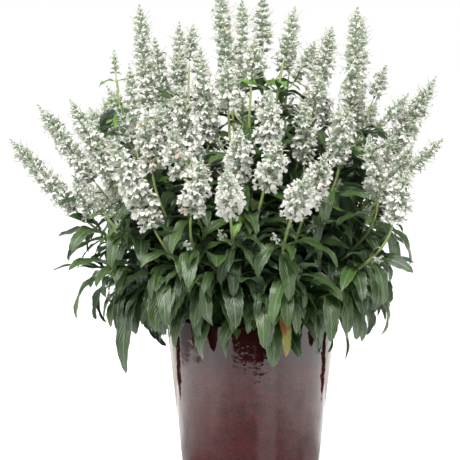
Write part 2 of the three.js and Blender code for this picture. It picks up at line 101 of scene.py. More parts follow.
sky = world.node_tree.nodes["Background"]
bright = world.node_tree.nodes.new("ShaderNodeBackground")
for background, strength in ((sky, DOME), (bright, BACKDROP)):
    background.inputs["Color"].default_value = (*WHITE, 1.0)
    background.inputs["Strength"].default_value = strength
path = world.node_tree.nodes.new("ShaderNodeLightPath")
choice = world.node_tree.nodes.new("ShaderNodeMixShader")
world.node_tree.links.new(path.outputs["Is Camera Ray"], choice.inputs["Fac"])
world.node_tree.links.new(sky.outputs[0], choice.inputs[1])
world.node_tree.links.new(bright.outputs[0], choice.inputs[2])
world.node_tree.links.new(choice.outputs[0], world.node_tree.nodes["World Output"].inputs["Surface"])


def softbox(name, place, size, watts):
    data = bpy.data.lights.new(name, "AREA")
    data.shape = "RECTANGLE"
    data.size, data.size_y = size
    data.energy = watts
    lamp = bpy.data.objects.new(name, data)
    lamp.location = place
    lamp.rotation_euler = (Vector(LIT) - Vector(place)).to_track_quat("-Z", "Y").to_euler()
    lamp.visible_camera = False
    scene.collection.objects.link(lamp)


softbox("left softbox", (-1.6, -0.7, 1.1), (0.9, 1.4), 22)
softbox("right softbox", (1.6, -0.6, 1.1), (0.9, 1.4), 17)
softbox("top softbox", (-0.1, -0.8, 2.0), (1.1, 0.9), 48)

# %% [markdown]
# ## Templates and piles
# A plant repeats a few small shapes thousands of times, but each leaf is bent its own way, so plain
# instances won't do. Each shape is modelled once as a template with bmesh operators, and a pile gathers bent
# and turned copies of it into one mesh. Every point carries two facts that its material reads: "tone", a
# number for the whole copy that makes neighbours differ, and "place", where on the copy it lies.

# %% Templates
SAME = 1e-6  # points nearer to each other than this are one


class Template:
    """Points, faces and places of one small mesh, taken from a bmesh."""

    def __init__(self, bm):
        bm.verts.index_update()
        self.points = np.array([v.co[:] for v in bm.verts])
        self.corners = np.array([v.index for f in bm.faces for v in f.verts])
        self.sides = np.array([len(f.verts) for f in bm.faces])
        self.places = self.points.copy()
        bm.free()

    @staticmethod
    def joined(parts):
        whole = object.__new__(Template)
        starts = np.cumsum([0] + [len(part.points) for part in parts])
        whole.points = np.concatenate([part.points for part in parts])
        whole.corners = np.concatenate([part.corners + start for part, start in zip(parts, starts)])
        whole.sides = np.concatenate([part.sides for part in parts])
        whole.places = np.concatenate([part.places for part in parts])
        return whole


def turned(profile, sides):
    """A closed shape spun round X from (x, radius) stations. Its first and last lie on the axis."""
    bm = bmesh.new()
    verts = [bm.verts.new((x, 0, radius)) for x, radius in profile]
    edges = [bm.edges.new(pair) for pair in zip(verts, verts[1:])]
    bmesh.ops.spin(
        bm, geom=verts + edges, cent=(0, 0, 0), axis=(1, 0, 0), angle=TURN, steps=sides, use_merge=True
    )
    bmesh.ops.remove_doubles(bm, verts=bm.verts[:], dist=SAME)
    bmesh.ops.recalc_face_normals(bm, faces=bm.faces[:])
    return bm


def blade(rings, sides):
    """A closed blade: x runs from 0 at the stalk to 1 at the tip, y from -1 to 1 across, z is 1 above."""
    bm = bmesh.new()
    lie = Matrix.Translation((0.5, 0, 0)) @ Matrix.Rotation(math.pi / 2, 4, "Y")
    bmesh.ops.create_cone(bm, cap_ends=True, segments=sides, radius1=1, radius2=0, depth=1, matrix=lie)
    for k in range(1, rings):
        geometry = bm.verts[:] + bm.edges[:] + bm.faces[:]
        bmesh.ops.bisect_plane(bm, geom=geometry, plane_co=(k / rings, 0, 0), plane_no=(1, 0, 0))
    for v in bm.verts:
        if v.co.x < 1 - SAME:
            v.co.yz = v.co.yz / (1 - v.co.x)
    bmesh.ops.recalc_face_normals(bm, faces=bm.faces[:])
    return bm


print("a blade of 4 rings and 6 sides:", len(Template(blade(4, 6)).points), "points")

# %% Piles
SHARP = math.radians(60)  # edges sharper than this aren't smoothed
tally = {}  # copies made of each template


class Pile:
    """Copies of templates, gathered for one mesh."""

    def __init__(self):
        self.points, self.corners, self.sides = [], [], []
        self.tones, self.places = [], []
        self.total = 0

    def add(self, template, copies, tones):
        """copies holds the moved points of each copy, (count, points, 3); tones one number for each."""
        count, size = copies.shape[:2]
        tally[id(template)] = tally.get(id(template), 0) + count
        starts = self.total + size * np.arange(count)
        self.points.append(copies.reshape(-1, 3))
        self.corners.append((template.corners[None] + starts[:, None]).ravel())
        self.sides.append(np.tile(template.sides, count))
        self.tones.append(np.repeat(tones, size))
        self.places.append(np.tile(template.places, (count, 1)))
        self.total += count * size

    def piece(self, name, material, slot, *nodes):
        points = np.concatenate(self.points) * MM
        corners = np.concatenate(self.corners)
        sides = np.concatenate(self.sides)
        mesh = bpy.data.meshes.new(name)
        mesh.vertices.add(len(points))
        mesh.vertices.foreach_set("co", points.astype(np.float32).ravel())
        mesh.loops.add(len(corners))
        mesh.loops.foreach_set("vertex_index", corners.astype(np.int32))
        mesh.polygons.add(len(sides))
        starts = np.concatenate([[0], np.cumsum(sides)[:-1]])
        mesh.polygons.foreach_set("loop_start", starts.astype(np.int32))
        mesh.polygons.foreach_set("use_smooth", np.ones(len(sides), bool))
        mesh.update(calc_edges=True)
        tone = mesh.attributes.new("tone", "FLOAT", "POINT")
        tone.data.foreach_set("value", np.concatenate(self.tones).astype(np.float32))
        place = mesh.attributes.new("place", "FLOAT_VECTOR", "POINT")
        place.data.foreach_set("vector", np.concatenate(self.places).astype(np.float32).ravel())
        mesh.set_sharp_from_angle(angle=SHARP)
        return finished(name, mesh, material, slot, *nodes)


triangles = {}


def finished(name, mesh, material, slot, *nodes):
    """Puts a mesh in the scene as a piece of the plant or its pot."""
    mesh.materials.append(material)
    piece = bpy.data.objects.new(name, mesh)
    scene.collection.objects.link(piece)
    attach(piece, "root")
    if nodes:
        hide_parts(*nodes)
    triangles[name] = len(mesh.loops) - 2 * len(mesh.polygons)
    return piece


def placed(template, origins, alongs, ups, scales):
    """Copies a template: its x goes along, its z as near up as can be, (count, points, 3)."""
    alongs = alongs / np.linalg.norm(alongs, axis=1, keepdims=True)
    asides = np.cross(ups, alongs)
    asides /= np.linalg.norm(asides, axis=1, keepdims=True)
    uprights = np.cross(alongs, asides)
    frames = np.stack([alongs, asides, uprights], axis=1) * scales[:, None, None]
    return origins[:, None] + np.einsum("nj,kji->kni", template.points, frames)


# %% [markdown]
# ## Finishes
# Leaves, petals and glaze are uneven in colour, but none of them repeats as a picture would, so every finish
# is made of nodes. One effect is shared by all of them: "mottle", a noise that becomes a mask of soft
# patches. It is a node group with named inputs, built once and placed in each material with its own values.
# It mixes colours, and as the height of a bump it roughens a surface.

# %% Shared nodes and the mottle group
NOISE_DETAIL = 3.0


def node(tree, kind, **settings):
    made = tree.nodes.new("ShaderNode" + kind)
    for name, value in settings.items():
        setattr(made, name, value)
    return made


def math_node(tree, operation, first, second=0.0, clamp=False):
    made = node(tree, "Math", operation=operation, use_clamp=clamp)
    for socket, value in zip(made.inputs, (first, second)):
        if isinstance(value, (int, float)):
            socket.default_value = value
        else:
            tree.links.new(value, socket)
    return made.outputs[0]


def ramp(tree, value, low, high):
    """0 below low, 1 above high, and smooth between."""
    made = node(tree, "MapRange", interpolation_type="SMOOTHSTEP")
    made.inputs["From Min"].default_value = low
    made.inputs["From Max"].default_value = high
    tree.links.new(value, made.inputs["Value"])
    return made.outputs["Result"]


def scaled(tree, value, factor, added=0.0):
    return math_node(tree, "ADD", math_node(tree, "MULTIPLY", value, factor), added)


def parts_of(tree, vector):
    """The X, Y and Z of a vector."""
    made = node(tree, "SeparateXYZ")
    tree.links.new(vector, made.inputs[0])
    return made.outputs


def noise(tree, where, scale):
    made = node(tree, "TexNoise")
    made.inputs["Scale"].default_value = scale
    made.inputs["Detail"].default_value = NOISE_DETAIL
    tree.links.new(where, made.inputs["Vector"])
    return made.outputs["Fac"]


def mix(tree, mask, first, second):
    made = node(tree, "Mix", data_type="RGBA")
    for socket, value in zip((made.inputs[0], made.inputs[6], made.inputs[7]), (mask, first, second)):
        if isinstance(value, tuple):
            socket.default_value = (*value, 1.0)
        elif isinstance(value, float):
            socket.default_value = value
        else:
            tree.links.new(value, socket)
    return made.outputs[2]


def new_group(name, inputs, output):
    group = bpy.data.node_groups.new(name, "ShaderNodeTree")
    for label, kind, value in inputs:
        socket = group.interface.new_socket(label, in_out="INPUT", socket_type=kind)
        if value is not None:
            socket.default_value = value
    group.interface.new_socket(output[0], in_out="OUTPUT", socket_type=output[1])
    return group, group.nodes.new("NodeGroupInput"), group.nodes.new("NodeGroupOutput")


def mottle_group():
    """A mask of soft patches. A greater Scale makes them smaller. The mask starts where the noise is Low and
    is full where it is High."""
    inputs = [
        ("Vector", "NodeSocketVector", None),
        ("Scale", "NodeSocketFloat", 100.0),
        ("Low", "NodeSocketFloat", 0.4),
        ("High", "NodeSocketFloat", 0.6),
    ]
    group, source, target = new_group("mottle", inputs, ("Mask", "NodeSocketFloat"))
    uneven = node(group, "TexNoise")
    uneven.inputs["Detail"].default_value = NOISE_DETAIL
    spread = node(group, "MapRange", interpolation_type="SMOOTHSTEP")
    group.links.new(source.outputs["Vector"], uneven.inputs["Vector"])
    group.links.new(source.outputs["Scale"], uneven.inputs["Scale"])
    group.links.new(uneven.outputs["Fac"], spread.inputs["Value"])
    group.links.new(source.outputs["Low"], spread.inputs["From Min"])
    group.links.new(source.outputs["High"], spread.inputs["From Max"])
    group.links.new(spread.outputs["Result"], target.inputs["Mask"])
    return group


mottle_tree = mottle_group()


def new_finish(name, roughness):
    """A material with a Principled shader, and its tree, shader and object coordinates."""
    material = bpy.data.materials.new(name)
    material.use_nodes = True
    tree = material.node_tree
    shader = tree.nodes["Principled BSDF"]
    shader.inputs["Roughness"].default_value = roughness
    return material, tree, shader, node(tree, "TexCoord").outputs["Object"]


def mottle(tree, vector, scale, low, high):
    made = node(tree, "Group", node_tree=mottle_tree)
    tree.links.new(vector, made.inputs["Vector"])
    for label, value in (("Scale", scale), ("Low", low), ("High", high)):
        made.inputs[label].default_value = value
    return made.outputs["Mask"]


def bump(tree, target, height, distance, strength=1.0):
    """Tilts the normals that go to a socket as if the surface were raised by height."""
    made = node(tree, "Bump")
    made.inputs["Distance"].default_value = distance
    made.inputs["Strength"].default_value = strength
    tree.links.new(height, made.inputs["Height"])
    tree.links.new(made.outputs["Normal"], target)


def tone_of(tree):
    """The number that makes neighbouring copies differ."""
    return node(tree, "Attribute", attribute_name="tone").outputs["Fac"]


def place_of(tree):
    """Where on its copy a point lies."""
    return parts_of(tree, node(tree, "Attribute", attribute_name="place").outputs["Vector"])


def set_sockets(shader, sockets):
    for label, value in sockets.items():
        shader.inputs[label].default_value = value


print("mottle group:", [n.bl_idname for n in mottle_tree.nodes])

# %% [markdown]
# ## Glaze
# The pot's glaze is a glassy layer over a dark red body, with fine rust and grey-green specks. Towards the
# rim its body is painted darker: painted shade where the leaves hang over it. One glossy layer would look
# like plastic, so the body here is dull and a clear coat over it does the shining. The coat alone is
# rippled, as a glaze is that ran before it set.

# %% Glaze
OXBLOOD = SimpleNamespace(
    deep=(0.028, 0.0022, 0.0022),
    warm=(0.048, 0.004, 0.004),
    rust=(0.105, 0.007, 0.006),
    speck=(0.05, 0.03, 0.022),
    # painted shade: the colour the body darkens to under the overhanging leaves
    dark=(0.004, 0.0006, 0.0006),
)
# painted shade: from start to full the body darkens towards the rim, where the leaves shade the pot
LEAF_SHADE_ON_GLAZE = SimpleNamespace(start=0.16, full=0.2, share=0.65)  # metres up the pot


def glaze_finish():
    material, tree, shader, where = new_finish("oxblood glaze", 0.5)
    patches = mottle(tree, where, 45.0, 0.35, 0.7)
    rust = mottle(tree, where, 850.0, 0.46, 0.64)
    blots = mottle(tree, where, 95.0, 0.35, 0.65)
    specks = mottle(tree, where, 560.0, 0.58, 0.7)
    rust = math_node(tree, "MULTIPLY", rust, scaled(tree, blots, 0.6, 0.45))
    # painted shade of the leaves: the body darkens towards the rim
    dark = ramp(tree, parts_of(tree, where)[2], LEAF_SHADE_ON_GLAZE.start, LEAF_SHADE_ON_GLAZE.full)
    body = mix(tree, patches, OXBLOOD.deep, OXBLOOD.warm)
    body = mix(tree, rust, body, OXBLOOD.rust)
    body = mix(tree, specks, body, OXBLOOD.speck)
    body = mix(tree, math_node(tree, "MULTIPLY", dark, LEAF_SHADE_ON_GLAZE.share), body, OXBLOOD.dark)
    tree.links.new(body, shader.inputs["Base Color"])
    set_sockets(shader, {"Specular IOR Level": 0.0, "Coat Weight": 1.0, "Coat Roughness": 0.05})
    ripple = ramp(tree, noise(tree, where, 60.0), 0.2, 0.8)
    bump(tree, shader.inputs["Coat Normal"], ripple, 0.0006, 0.35)
    return material


glaze = glaze_finish()
print("glaze:", len(glaze.node_tree.nodes), "nodes")

# %% [markdown]
# ## The look of potting mix
# Potting mix is dark, dull and crumbly, with light flecks of bark. Its crumbs are too fine to model one by
# one, so three sizes of mottle make its colour, its flecks and a strong bump, and only the loose crumbs are
# shapes.

# %% The look of potting mix
PEAT = SimpleNamespace(dark=(0.012, 0.008, 0.005), light=(0.055, 0.034, 0.02), bark=(0.2, 0.14, 0.08))


def mix_finish():
    material, tree, shader, where = new_finish("potting mix", 0.95)
    crumbs = mottle(tree, where, 320.0, 0.35, 0.65)
    flecks = mottle(tree, where, 700.0, 0.62, 0.7)
    grit = mottle(tree, where, 500.0, 0.3, 0.7)
    colour = mix(tree, crumbs, PEAT.dark, PEAT.light)
    tree.links.new(mix(tree, flecks, colour, PEAT.bark), shader.inputs["Base Color"])
    bump(tree, shader.inputs["Normal"], grit, 0.002)
    return material


potting_mix = mix_finish()
print("potting mix:", len(potting_mix.node_tree.nodes), "nodes")

# %% [markdown]
# ## The look of a leaf
# A sage leaf is dark green above, with a pale midrib, slanting side veins and a thin pale edge, and grey-
# green below. A picture of a leaf would show the same blotches on every one. Here the veins are worked out
# from how far along and across the blade a point lies, and mottle and tone make each leaf differ. Two tones
# are set apart: a yellowed leaf, and the fresh green of a young one.

# %% The look of a leaf
SIDE_VEINS = 12
OLD_TONE = 1.0
YOUNG_TONE = 2.0
BLADE_GREEN = SimpleNamespace(dark=(0.011, 0.028, 0.009), light=(0.05, 0.105, 0.018),
                              patch=(0.034, 0.074, 0.016), young=(0.13, 0.26, 0.04),
                              below=(0.075, 0.12, 0.07))
VEIN_GREEN = SimpleNamespace(above=(0.16, 0.25, 0.09), edge=(0.18, 0.27, 0.1), below=(0.16, 0.23, 0.12),
                             stalk=(0.2, 0.3, 0.1))
FADED = SimpleNamespace(yellow=(0.3, 0.3, 0.04), brown=(0.35, 0.13, 0.03))


def leaf_finish():
    material, tree, shader, where = new_finish("sage leaf", 0.36)
    along, across, face = place_of(tree)
    aside = math_node(tree, "ABSOLUTE", across)
    midrib = math_node(tree, "SUBTRACT", 1.0, ramp(tree, aside, 0.03, 0.13))
    slanted = math_node(tree, "SUBTRACT", along, math_node(tree, "MULTIPLY", aside, 0.3))
    wave = math_node(tree, "SINE", math_node(tree, "MULTIPLY", slanted, SIDE_VEINS * TURN))
    veins = ramp(tree, wave, 0.75, 1.0)
    ribs = math_node(tree, "MAXIMUM", midrib, math_node(tree, "MULTIPLY", veins, 0.35))
    edge = ramp(tree, aside, 0.9, 1.0)
    tone = tone_of(tree)

    top = mix(tree, tone, BLADE_GREEN.dark, BLADE_GREEN.light)
    top = mix(tree, mottle(tree, where, 120.0, 0.4, 0.75), top, BLADE_GREEN.patch)
    top = mix(tree, math_node(tree, "MULTIPLY", ribs, 0.55), top, VEIN_GREEN.above)
    top = mix(tree, math_node(tree, "MULTIPLY", edge, 0.8), top, VEIN_GREEN.edge)
    faded = mix(tree, mottle(tree, where, 60.0, 0.5, 0.6), FADED.yellow, FADED.brown)
    top = mix(tree, ramp(tree, tone, 0.985, OLD_TONE), top, faded)
    top = mix(tree, ramp(tree, tone, 1.5, YOUNG_TONE), top, BLADE_GREEN.young)
    below = mix(tree, ribs, BLADE_GREEN.below, VEIN_GREEN.below)
    colour = mix(tree, ramp(tree, face, 0.1, -0.1), top, below)
    colour = mix(tree, ramp(tree, along, 0.16, 0.08), colour, VEIN_GREEN.stalk)
    tree.links.new(colour, shader.inputs["Base Color"])

    set_sockets(shader, {"Specular IOR Level": 0.7, "Subsurface Weight": 0.12,
                         "Subsurface Radius": (0.5, 1.0, 0.25), "Subsurface Scale": 0.002})
    quilt = math_node(tree, "ADD", math_node(tree, "MULTIPLY", wave, -0.35), ramp(tree, aside, 0.0, 0.3))
    bump(tree, shader.inputs["Normal"], quilt, 0.0006, 0.6)
    return material


leaf_green = leaf_finish()
print("leaf:", len(leaf_green.node_tree.nodes), "nodes")

# %% [markdown]
# ## The look of stems and florets
# A stem turns from dull green at its foot to light green at its top. A calyx is felted grey-green, greener
# at its base, and a petal is white with a warm shade here and there. Its throat is green and darker, partly
# its own green and partly painted shade deep in the tube. Fine felt and petal cells are far too small to
# model, so a faint bump stands for them, and petals let light through below the surface.

# %% The look of stems and florets
STEM_GREEN = SimpleNamespace(foot=(0.075, 0.11, 0.03), top=(0.33, 0.42, 0.15), patch=(0.25, 0.34, 0.1))
FELT = SimpleNamespace(dark=(0.32, 0.4, 0.28), light=(0.57, 0.64, 0.49), hairs=(0.66, 0.71, 0.58),
                       base=(0.2, 0.28, 0.09))
PETAL = SimpleNamespace(dark=(0.68, 0.69, 0.6), light=(0.84, 0.83, 0.76), spent=(0.6, 0.4, 0.26),
                        # throat: partly the corolla's own green, partly painted shade inside the tube
                        throat_green_and_shade=(0.55, 0.6, 0.4), shade=(0.74, 0.68, 0.6), thread=(0.46, 0.41, 0.34))


def stem_finish():
    material, tree, shader, where = new_finish("sage stem", 0.55)
    colour = mix(tree, ramp(tree, place_of(tree)[0], 0.1, 0.75), STEM_GREEN.foot, STEM_GREEN.top)
    colour = mix(tree, mottle(tree, where, 150.0, 0.45, 0.75), colour, STEM_GREEN.patch)
    tree.links.new(colour, shader.inputs["Base Color"])
    bump(tree, shader.inputs["Normal"], mottle(tree, where, 1500.0, 0.3, 0.7), 0.0002)
    return material


def calyx_finish():
    material, tree, shader, where = new_finish("felted calyx", 0.85)
    colour = mix(tree, tone_of(tree), FELT.dark, FELT.light)
    hairs = mottle(tree, where, 1100.0, 0.4, 0.62)
    colour = mix(tree, math_node(tree, "MULTIPLY", hairs, 0.6), colour, FELT.hairs)
    colour = mix(tree, ramp(tree, place_of(tree)[0], 0.3, 0.0), colour, FELT.base)
    tree.links.new(colour, shader.inputs["Base Color"])
    set_sockets(shader, {"Sheen Weight": 0.35})
    bump(tree, shader.inputs["Normal"], hairs, 0.0003)
    return material


def petal_finish():
    material, tree, shader, where = new_finish("white petal", 0.6)
    place, tone = place_of(tree), tone_of(tree)
    white = mix(tree, tone, PETAL.dark, PETAL.light)
    white = mix(tree, ramp(tree, tone, 0.95, 1.0), white, PETAL.spent)
    # the throat: its own green, and painted shade deep in the tube, darker towards the foot of the corolla
    colour = mix(tree, ramp(tree, place[0], 0.35, 0.0), white, PETAL.throat_green_and_shade)
    colour = mix(tree, mottle(tree, where, 300.0, 0.5, 0.8), colour, PETAL.shade)
    colour = mix(tree, place[1], colour, PETAL.thread)
    tree.links.new(colour, shader.inputs["Base Color"])
    set_sockets(shader, {"Subsurface Weight": 0.5, "Subsurface Radius": (1.0, 1.0, 0.8),
                         "Subsurface Scale": 0.003})
    bump(tree, shader.inputs["Normal"], mottle(tree, where, 900.0, 0.3, 0.7), 0.0001)
    return material


stem_green = stem_finish()
calyx_felt = calyx_finish()
petal_white = petal_finish()
print("finishes:", [m.name for m in bpy.data.materials])

# %% [markdown]
# ## Floor
# The floor is a wide disc of the same white as the world, so no horizon shows. A glazed pot that tapers
# downward mirrors the floor round it, and a plain floor would leave the glaze flat. So the floor also
# carries what the glaze shows: a bright sweep behind, a narrow dark gap on either side of it, soft light at
# the sides, a brighter stripe right of the front, a shade at the left, and a dimmer patch in front, where
# the camera stands. Light Path lets only mirrored rays see that pattern. The pattern lies still, and the
# floor itself stays plain.

# %% Floor
FLOOR_RADIUS = 40.0
RAGGED = SimpleNamespace(scale=9.0, reach=0.25, back=0.06)  # how uneven the edges of the pattern are
# Bearings are in degrees from the front, and lengths in metres from the pot's axis.
FRONT = SimpleNamespace(near=0.24, far=0.52, least=0.6, gain=1.15)
SIDES = SimpleNamespace(start=18, full=60, near=0.15, far=0.33, gain=0.9)
STRIPE = SimpleNamespace(start=14, end=28, softness=11, gain=0.8)
PATCH = SimpleNamespace(half_width=24, softness=4, nearest=0.485, fade=0.02)
SHADE = SimpleNamespace(start=-105, end=-65, softness=10, nearest=0.54, fade=0.06, share=0.75)
SWEEP = SimpleNamespace(near=0.15, far=0.45, least=0.8, gain=1.3, tint=(1.0, 0.985, 0.89))
GAP = SimpleNamespace(start=0.24, end=0.36, softness=0.012, aside=0.35, fade=0.04, slant=0.8)
PALE = SimpleNamespace(colour=(0.8, 0.8, 0.8), glow=0.75)  # the floor as the camera sees it


def between(tree, value, low, high, softness):
    """A mask that is one from low to high and fades out past them."""
    rising = ramp(tree, value, low - softness, low)
    return math_node(tree, "MULTIPLY", rising, ramp(tree, value, high + softness, high))


def dimmed(tree, light, mask, share=1.0):
    kept = math_node(tree, "SUBTRACT", 1.0, math_node(tree, "MULTIPLY", mask, share))
    return math_node(tree, "MULTIPLY", light, kept)


def mirrored_studio(tree, where):
    """How bright, and in what tint, the glaze sees each place of the floor."""
    x, y, _ = parts_of(tree, where)
    shift = math_node(tree, "SUBTRACT", noise(tree, where, RAGGED.scale), 0.5)
    aside = math_node(tree, "ABSOLUTE", x)
    ahead = math_node(tree, "MULTIPLY", y, -1.0)
    bearing = math_node(tree, "DEGREES", math_node(tree, "ARCTAN2", x, ahead))
    turned_off = math_node(tree, "ABSOLUTE", bearing)
    squares = [math_node(tree, "POWER", side, 2.0) for side in (x, y)]
    reach = math_node(tree, "SQRT", math_node(tree, "ADD", *squares))
    reach = math_node(tree, "ADD", reach, scaled(tree, shift, RAGGED.reach))

    light = scaled(tree, ramp(tree, reach, FRONT.near, FRONT.far), FRONT.gain, FRONT.least)
    sides = math_node(tree, "MULTIPLY", ramp(tree, turned_off, SIDES.start, SIDES.full),
                      ramp(tree, reach, SIDES.near, SIDES.far))
    light = math_node(tree, "ADD", light, scaled(tree, sides, SIDES.gain))
    stripe = between(tree, bearing, STRIPE.start, STRIPE.end, STRIPE.softness)
    light = math_node(tree, "ADD", light, scaled(tree, stripe, STRIPE.gain))
    patch = math_node(tree, "MULTIPLY", ramp(tree, reach, PATCH.nearest, PATCH.nearest + PATCH.fade),
                      ramp(tree, turned_off, PATCH.half_width, PATCH.half_width - PATCH.softness))
    light = dimmed(tree, light, patch)
    shade = math_node(tree, "MULTIPLY", ramp(tree, reach, SHADE.nearest, SHADE.nearest + SHADE.fade),
                      between(tree, bearing, SHADE.start, SHADE.end, SHADE.softness))
    light = dimmed(tree, light, shade, SHADE.share)

    back = math_node(tree, "ADD", y, scaled(tree, shift, RAGGED.back))
    behind = ramp(tree, back, GAP.end, GAP.end + GAP.softness)
    sweep = scaled(tree, ramp(tree, aside, SWEEP.near, SWEEP.far), SWEEP.gain, SWEEP.least)
    light = dimmed(tree, light, behind)
    light = math_node(tree, "ADD", light, math_node(tree, "MULTIPLY", sweep, behind))
    tint = mix(tree, behind, WHITE, SWEEP.tint)
    slanted = math_node(tree, "SUBTRACT", aside, scaled(tree, back, GAP.slant, -GAP.slant * GAP.start))
    gap = math_node(tree, "MULTIPLY", between(tree, back, GAP.start, GAP.end, GAP.softness),
                    ramp(tree, slanted, GAP.aside - GAP.fade, GAP.aside))
    return dimmed(tree, light, gap), tint


def floor_finish():
    material, tree, shader, where = new_finish("white sweep", 0.7)
    rays = node(tree, "LightPath")
    seen, mirrored = rays.outputs["Is Camera Ray"], rays.outputs["Is Glossy Ray"]
    tree.links.new(mix(tree, mirrored, PALE.colour, BLACK), shader.inputs["Base Color"])
    light, tint = mirrored_studio(tree, where)
    tree.links.new(mix(tree, mirrored, WHITE, tint), shader.inputs["Emission Color"])
    glow = math_node(tree, "MULTIPLY", light, mirrored)
    glow = math_node(tree, "ADD", glow, math_node(tree, "MULTIPLY", seen, PALE.glow))
    tree.links.new(glow, shader.inputs["Emission Strength"])
    return material


def floor_piece():
    bm = bmesh.new()
    bmesh.ops.create_circle(bm, cap_ends=True, segments=96, radius=FLOOR_RADIUS)
    mesh = bpy.data.meshes.new("floor")
    bm.to_mesh(mesh)
    bm.free()
    mesh.materials.append(floor_finish())
    floor = bpy.data.objects.new("floor", mesh)
    scene.collection.objects.link(floor)
    return floor


floor_piece()
print("floor:", round(2 * FLOOR_RADIUS), "metres across")

# %% [markdown]
# ## Pot
# A thrown pot is a turned shape. A cylinder could be scaled in at the foot, but half a section, drawn as a
# short outline and spun round, has the wall's thickness and the hollow at once. The section is measured on
# the packed pot, and a bevel modifier rounds the lip.

# %% Pot
POT_STEPS = 128
POT_ROWS = 24
LOWEST_ROW = 5  # mm above the floor: the inner wall has no row nearer to its corner
LIP = SimpleNamespace(width=2.4, segments=4, angle=50)


def points_of(name):
    """The corners of a packed node, in millimetres."""
    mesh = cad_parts[name].data
    points = np.zeros(len(mesh.vertices) * 3, np.float32)
    mesh.vertices.foreach_get("co", points)
    return points.reshape(-1, 3).astype(float) / MM


def measured_pot():
    """Sizes of the packed pot to a tenth of a millimetre. Its edges are cut, so the radii of foot and rim
    come from the straight taper of the wall between them."""
    points = points_of("pot")
    radius, z = np.hypot(points[:, 0], points[:, 1]), points[:, 2]
    height, floor_top = z.max(), z[radius < 1].max()
    high, low = radius.argmax(), np.where(z < floor_top / 2, radius, 0).argmax()
    taper = (radius[high] - radius[low]) / (z[high] - z[low])
    foot = radius[low] - taper * z[low]
    inside = radius[abs(z - z[high]) < 0.1].min()
    sizes = SimpleNamespace(height=height, rim=foot + taper * height, foot=foot, wall=radius[high] - inside,
                            floor=floor_top)
    return SimpleNamespace(**{part: round(float(size), 1) for part, size in vars(sizes).items()})


POT = measured_pot()
print("packed pot:", vars(POT))


def pot_radius(z):
    return POT.foot + (POT.rim - POT.foot) * z / POT.height


def pot_outline():
    heights = np.linspace(0, POT.height, POT_ROWS)
    outside = [(pot_radius(z), z) for z in heights]
    inside = [(pot_radius(z) - POT.wall, z) for z in heights[::-1] if z > POT.floor + LOWEST_ROW]
    return [(0, 0)] + outside + inside + [(pot_radius(POT.floor) - POT.wall, POT.floor), (0, POT.floor)]


def pot_piece():
    bm = bmesh.new()
    verts = [bm.verts.new((r * MM, 0, z * MM)) for r, z in pot_outline()]
    edges = [bm.edges.new(pair) for pair in zip(verts, verts[1:])]
    bmesh.ops.spin(
        bm, geom=verts + edges, cent=(0, 0, 0), axis=(0, 0, 1), angle=TURN, steps=POT_STEPS, use_merge=True
    )
    bmesh.ops.remove_doubles(bm, verts=bm.verts[:], dist=SAME)
    bmesh.ops.recalc_face_normals(bm, faces=bm.faces[:])
    mesh = bpy.data.meshes.new("glazed_pot")
    bm.to_mesh(mesh)
    bm.free()
    mesh.shade_smooth()
    piece = finished("glazed_pot", mesh, glaze, "glaze", "pot")
    lip = piece.modifiers.new("rounded lip", "BEVEL")
    lip.width = LIP.width * MM
    lip.segments = LIP.segments
    lip.limit_method = "ANGLE"
    lip.angle_limit = math.radians(LIP.angle)


pot_piece()
print("pot:", triangles["glazed_pot"], "triangles before its lip is rounded")

# %% [markdown]
# ## Potting mix
# The mix fills the pot to just under its rim. A flat disc would look like a lid, so its top is cut into
# rings and heaved by a smooth noise of sines, and loose crumbs of bark lie on it, each a small lump pushed
# out of shape.

# %% Potting mix
SOIL_TOP = round(float(points_of("potting_mix")[:, 2].max()), 1)
SOIL = SimpleNamespace(top=SOIL_TOP, steps=72, rings=18, clear=0.6, below=0.4, shoulder=3, heave=1.6, calm=8,
                       least_heave=0.2)
CRUMBS = SimpleNamespace(count=420, margin=4, rise=0.6, least=0.7, most=2.6, flatness=0.5, lumps=0.25,
                         seed=7)


def heave(x, y):
    return SOIL.heave * (np.sin(x * 0.21 + 1.3) * np.cos(y * 0.17) + 0.6 * np.sin(x * 0.47 - y * 0.39))


def soil_template():
    radius = pot_radius(SOIL.top) - POT.wall - SOIL.clear
    bottom = pot_radius(POT.floor) - POT.wall - SOIL.clear
    base = POT.floor + SOIL.below
    outline = [(base, 0), (base, bottom), (SOIL.top - SOIL.shoulder, radius)]
    outline += [(SOIL.top, radius * k / SOIL.rings) for k in range(SOIL.rings, 0, -1)] + [(SOIL.top, 0)]
    bm = turned(outline, SOIL.steps)
    stand = Matrix(((0, 1, 0, 0), (0, 0, 1, 0), (1, 0, 0, 0), (0, 0, 0, 1)))
    bmesh.ops.transform(bm, matrix=stand, verts=bm.verts[:])
    for v in bm.verts:
        if v.co.z > SOIL.top - 1:
            from_wall = radius - math.hypot(v.co.x, v.co.y)
            v.co.z += heave(v.co.x, v.co.y) * min(1.0, from_wall / SOIL.calm + SOIL.least_heave)
    return Template(bm)


def crumb_template():
    bm = bmesh.new()
    bmesh.ops.create_icosphere(bm, subdivisions=1, radius=1)
    for v in bm.verts:
        v.co *= 1 + CRUMBS.lumps * math.sin(v.co.x * 9 + v.co.y * 7 + v.co.z * 5)
    return Template(bm)


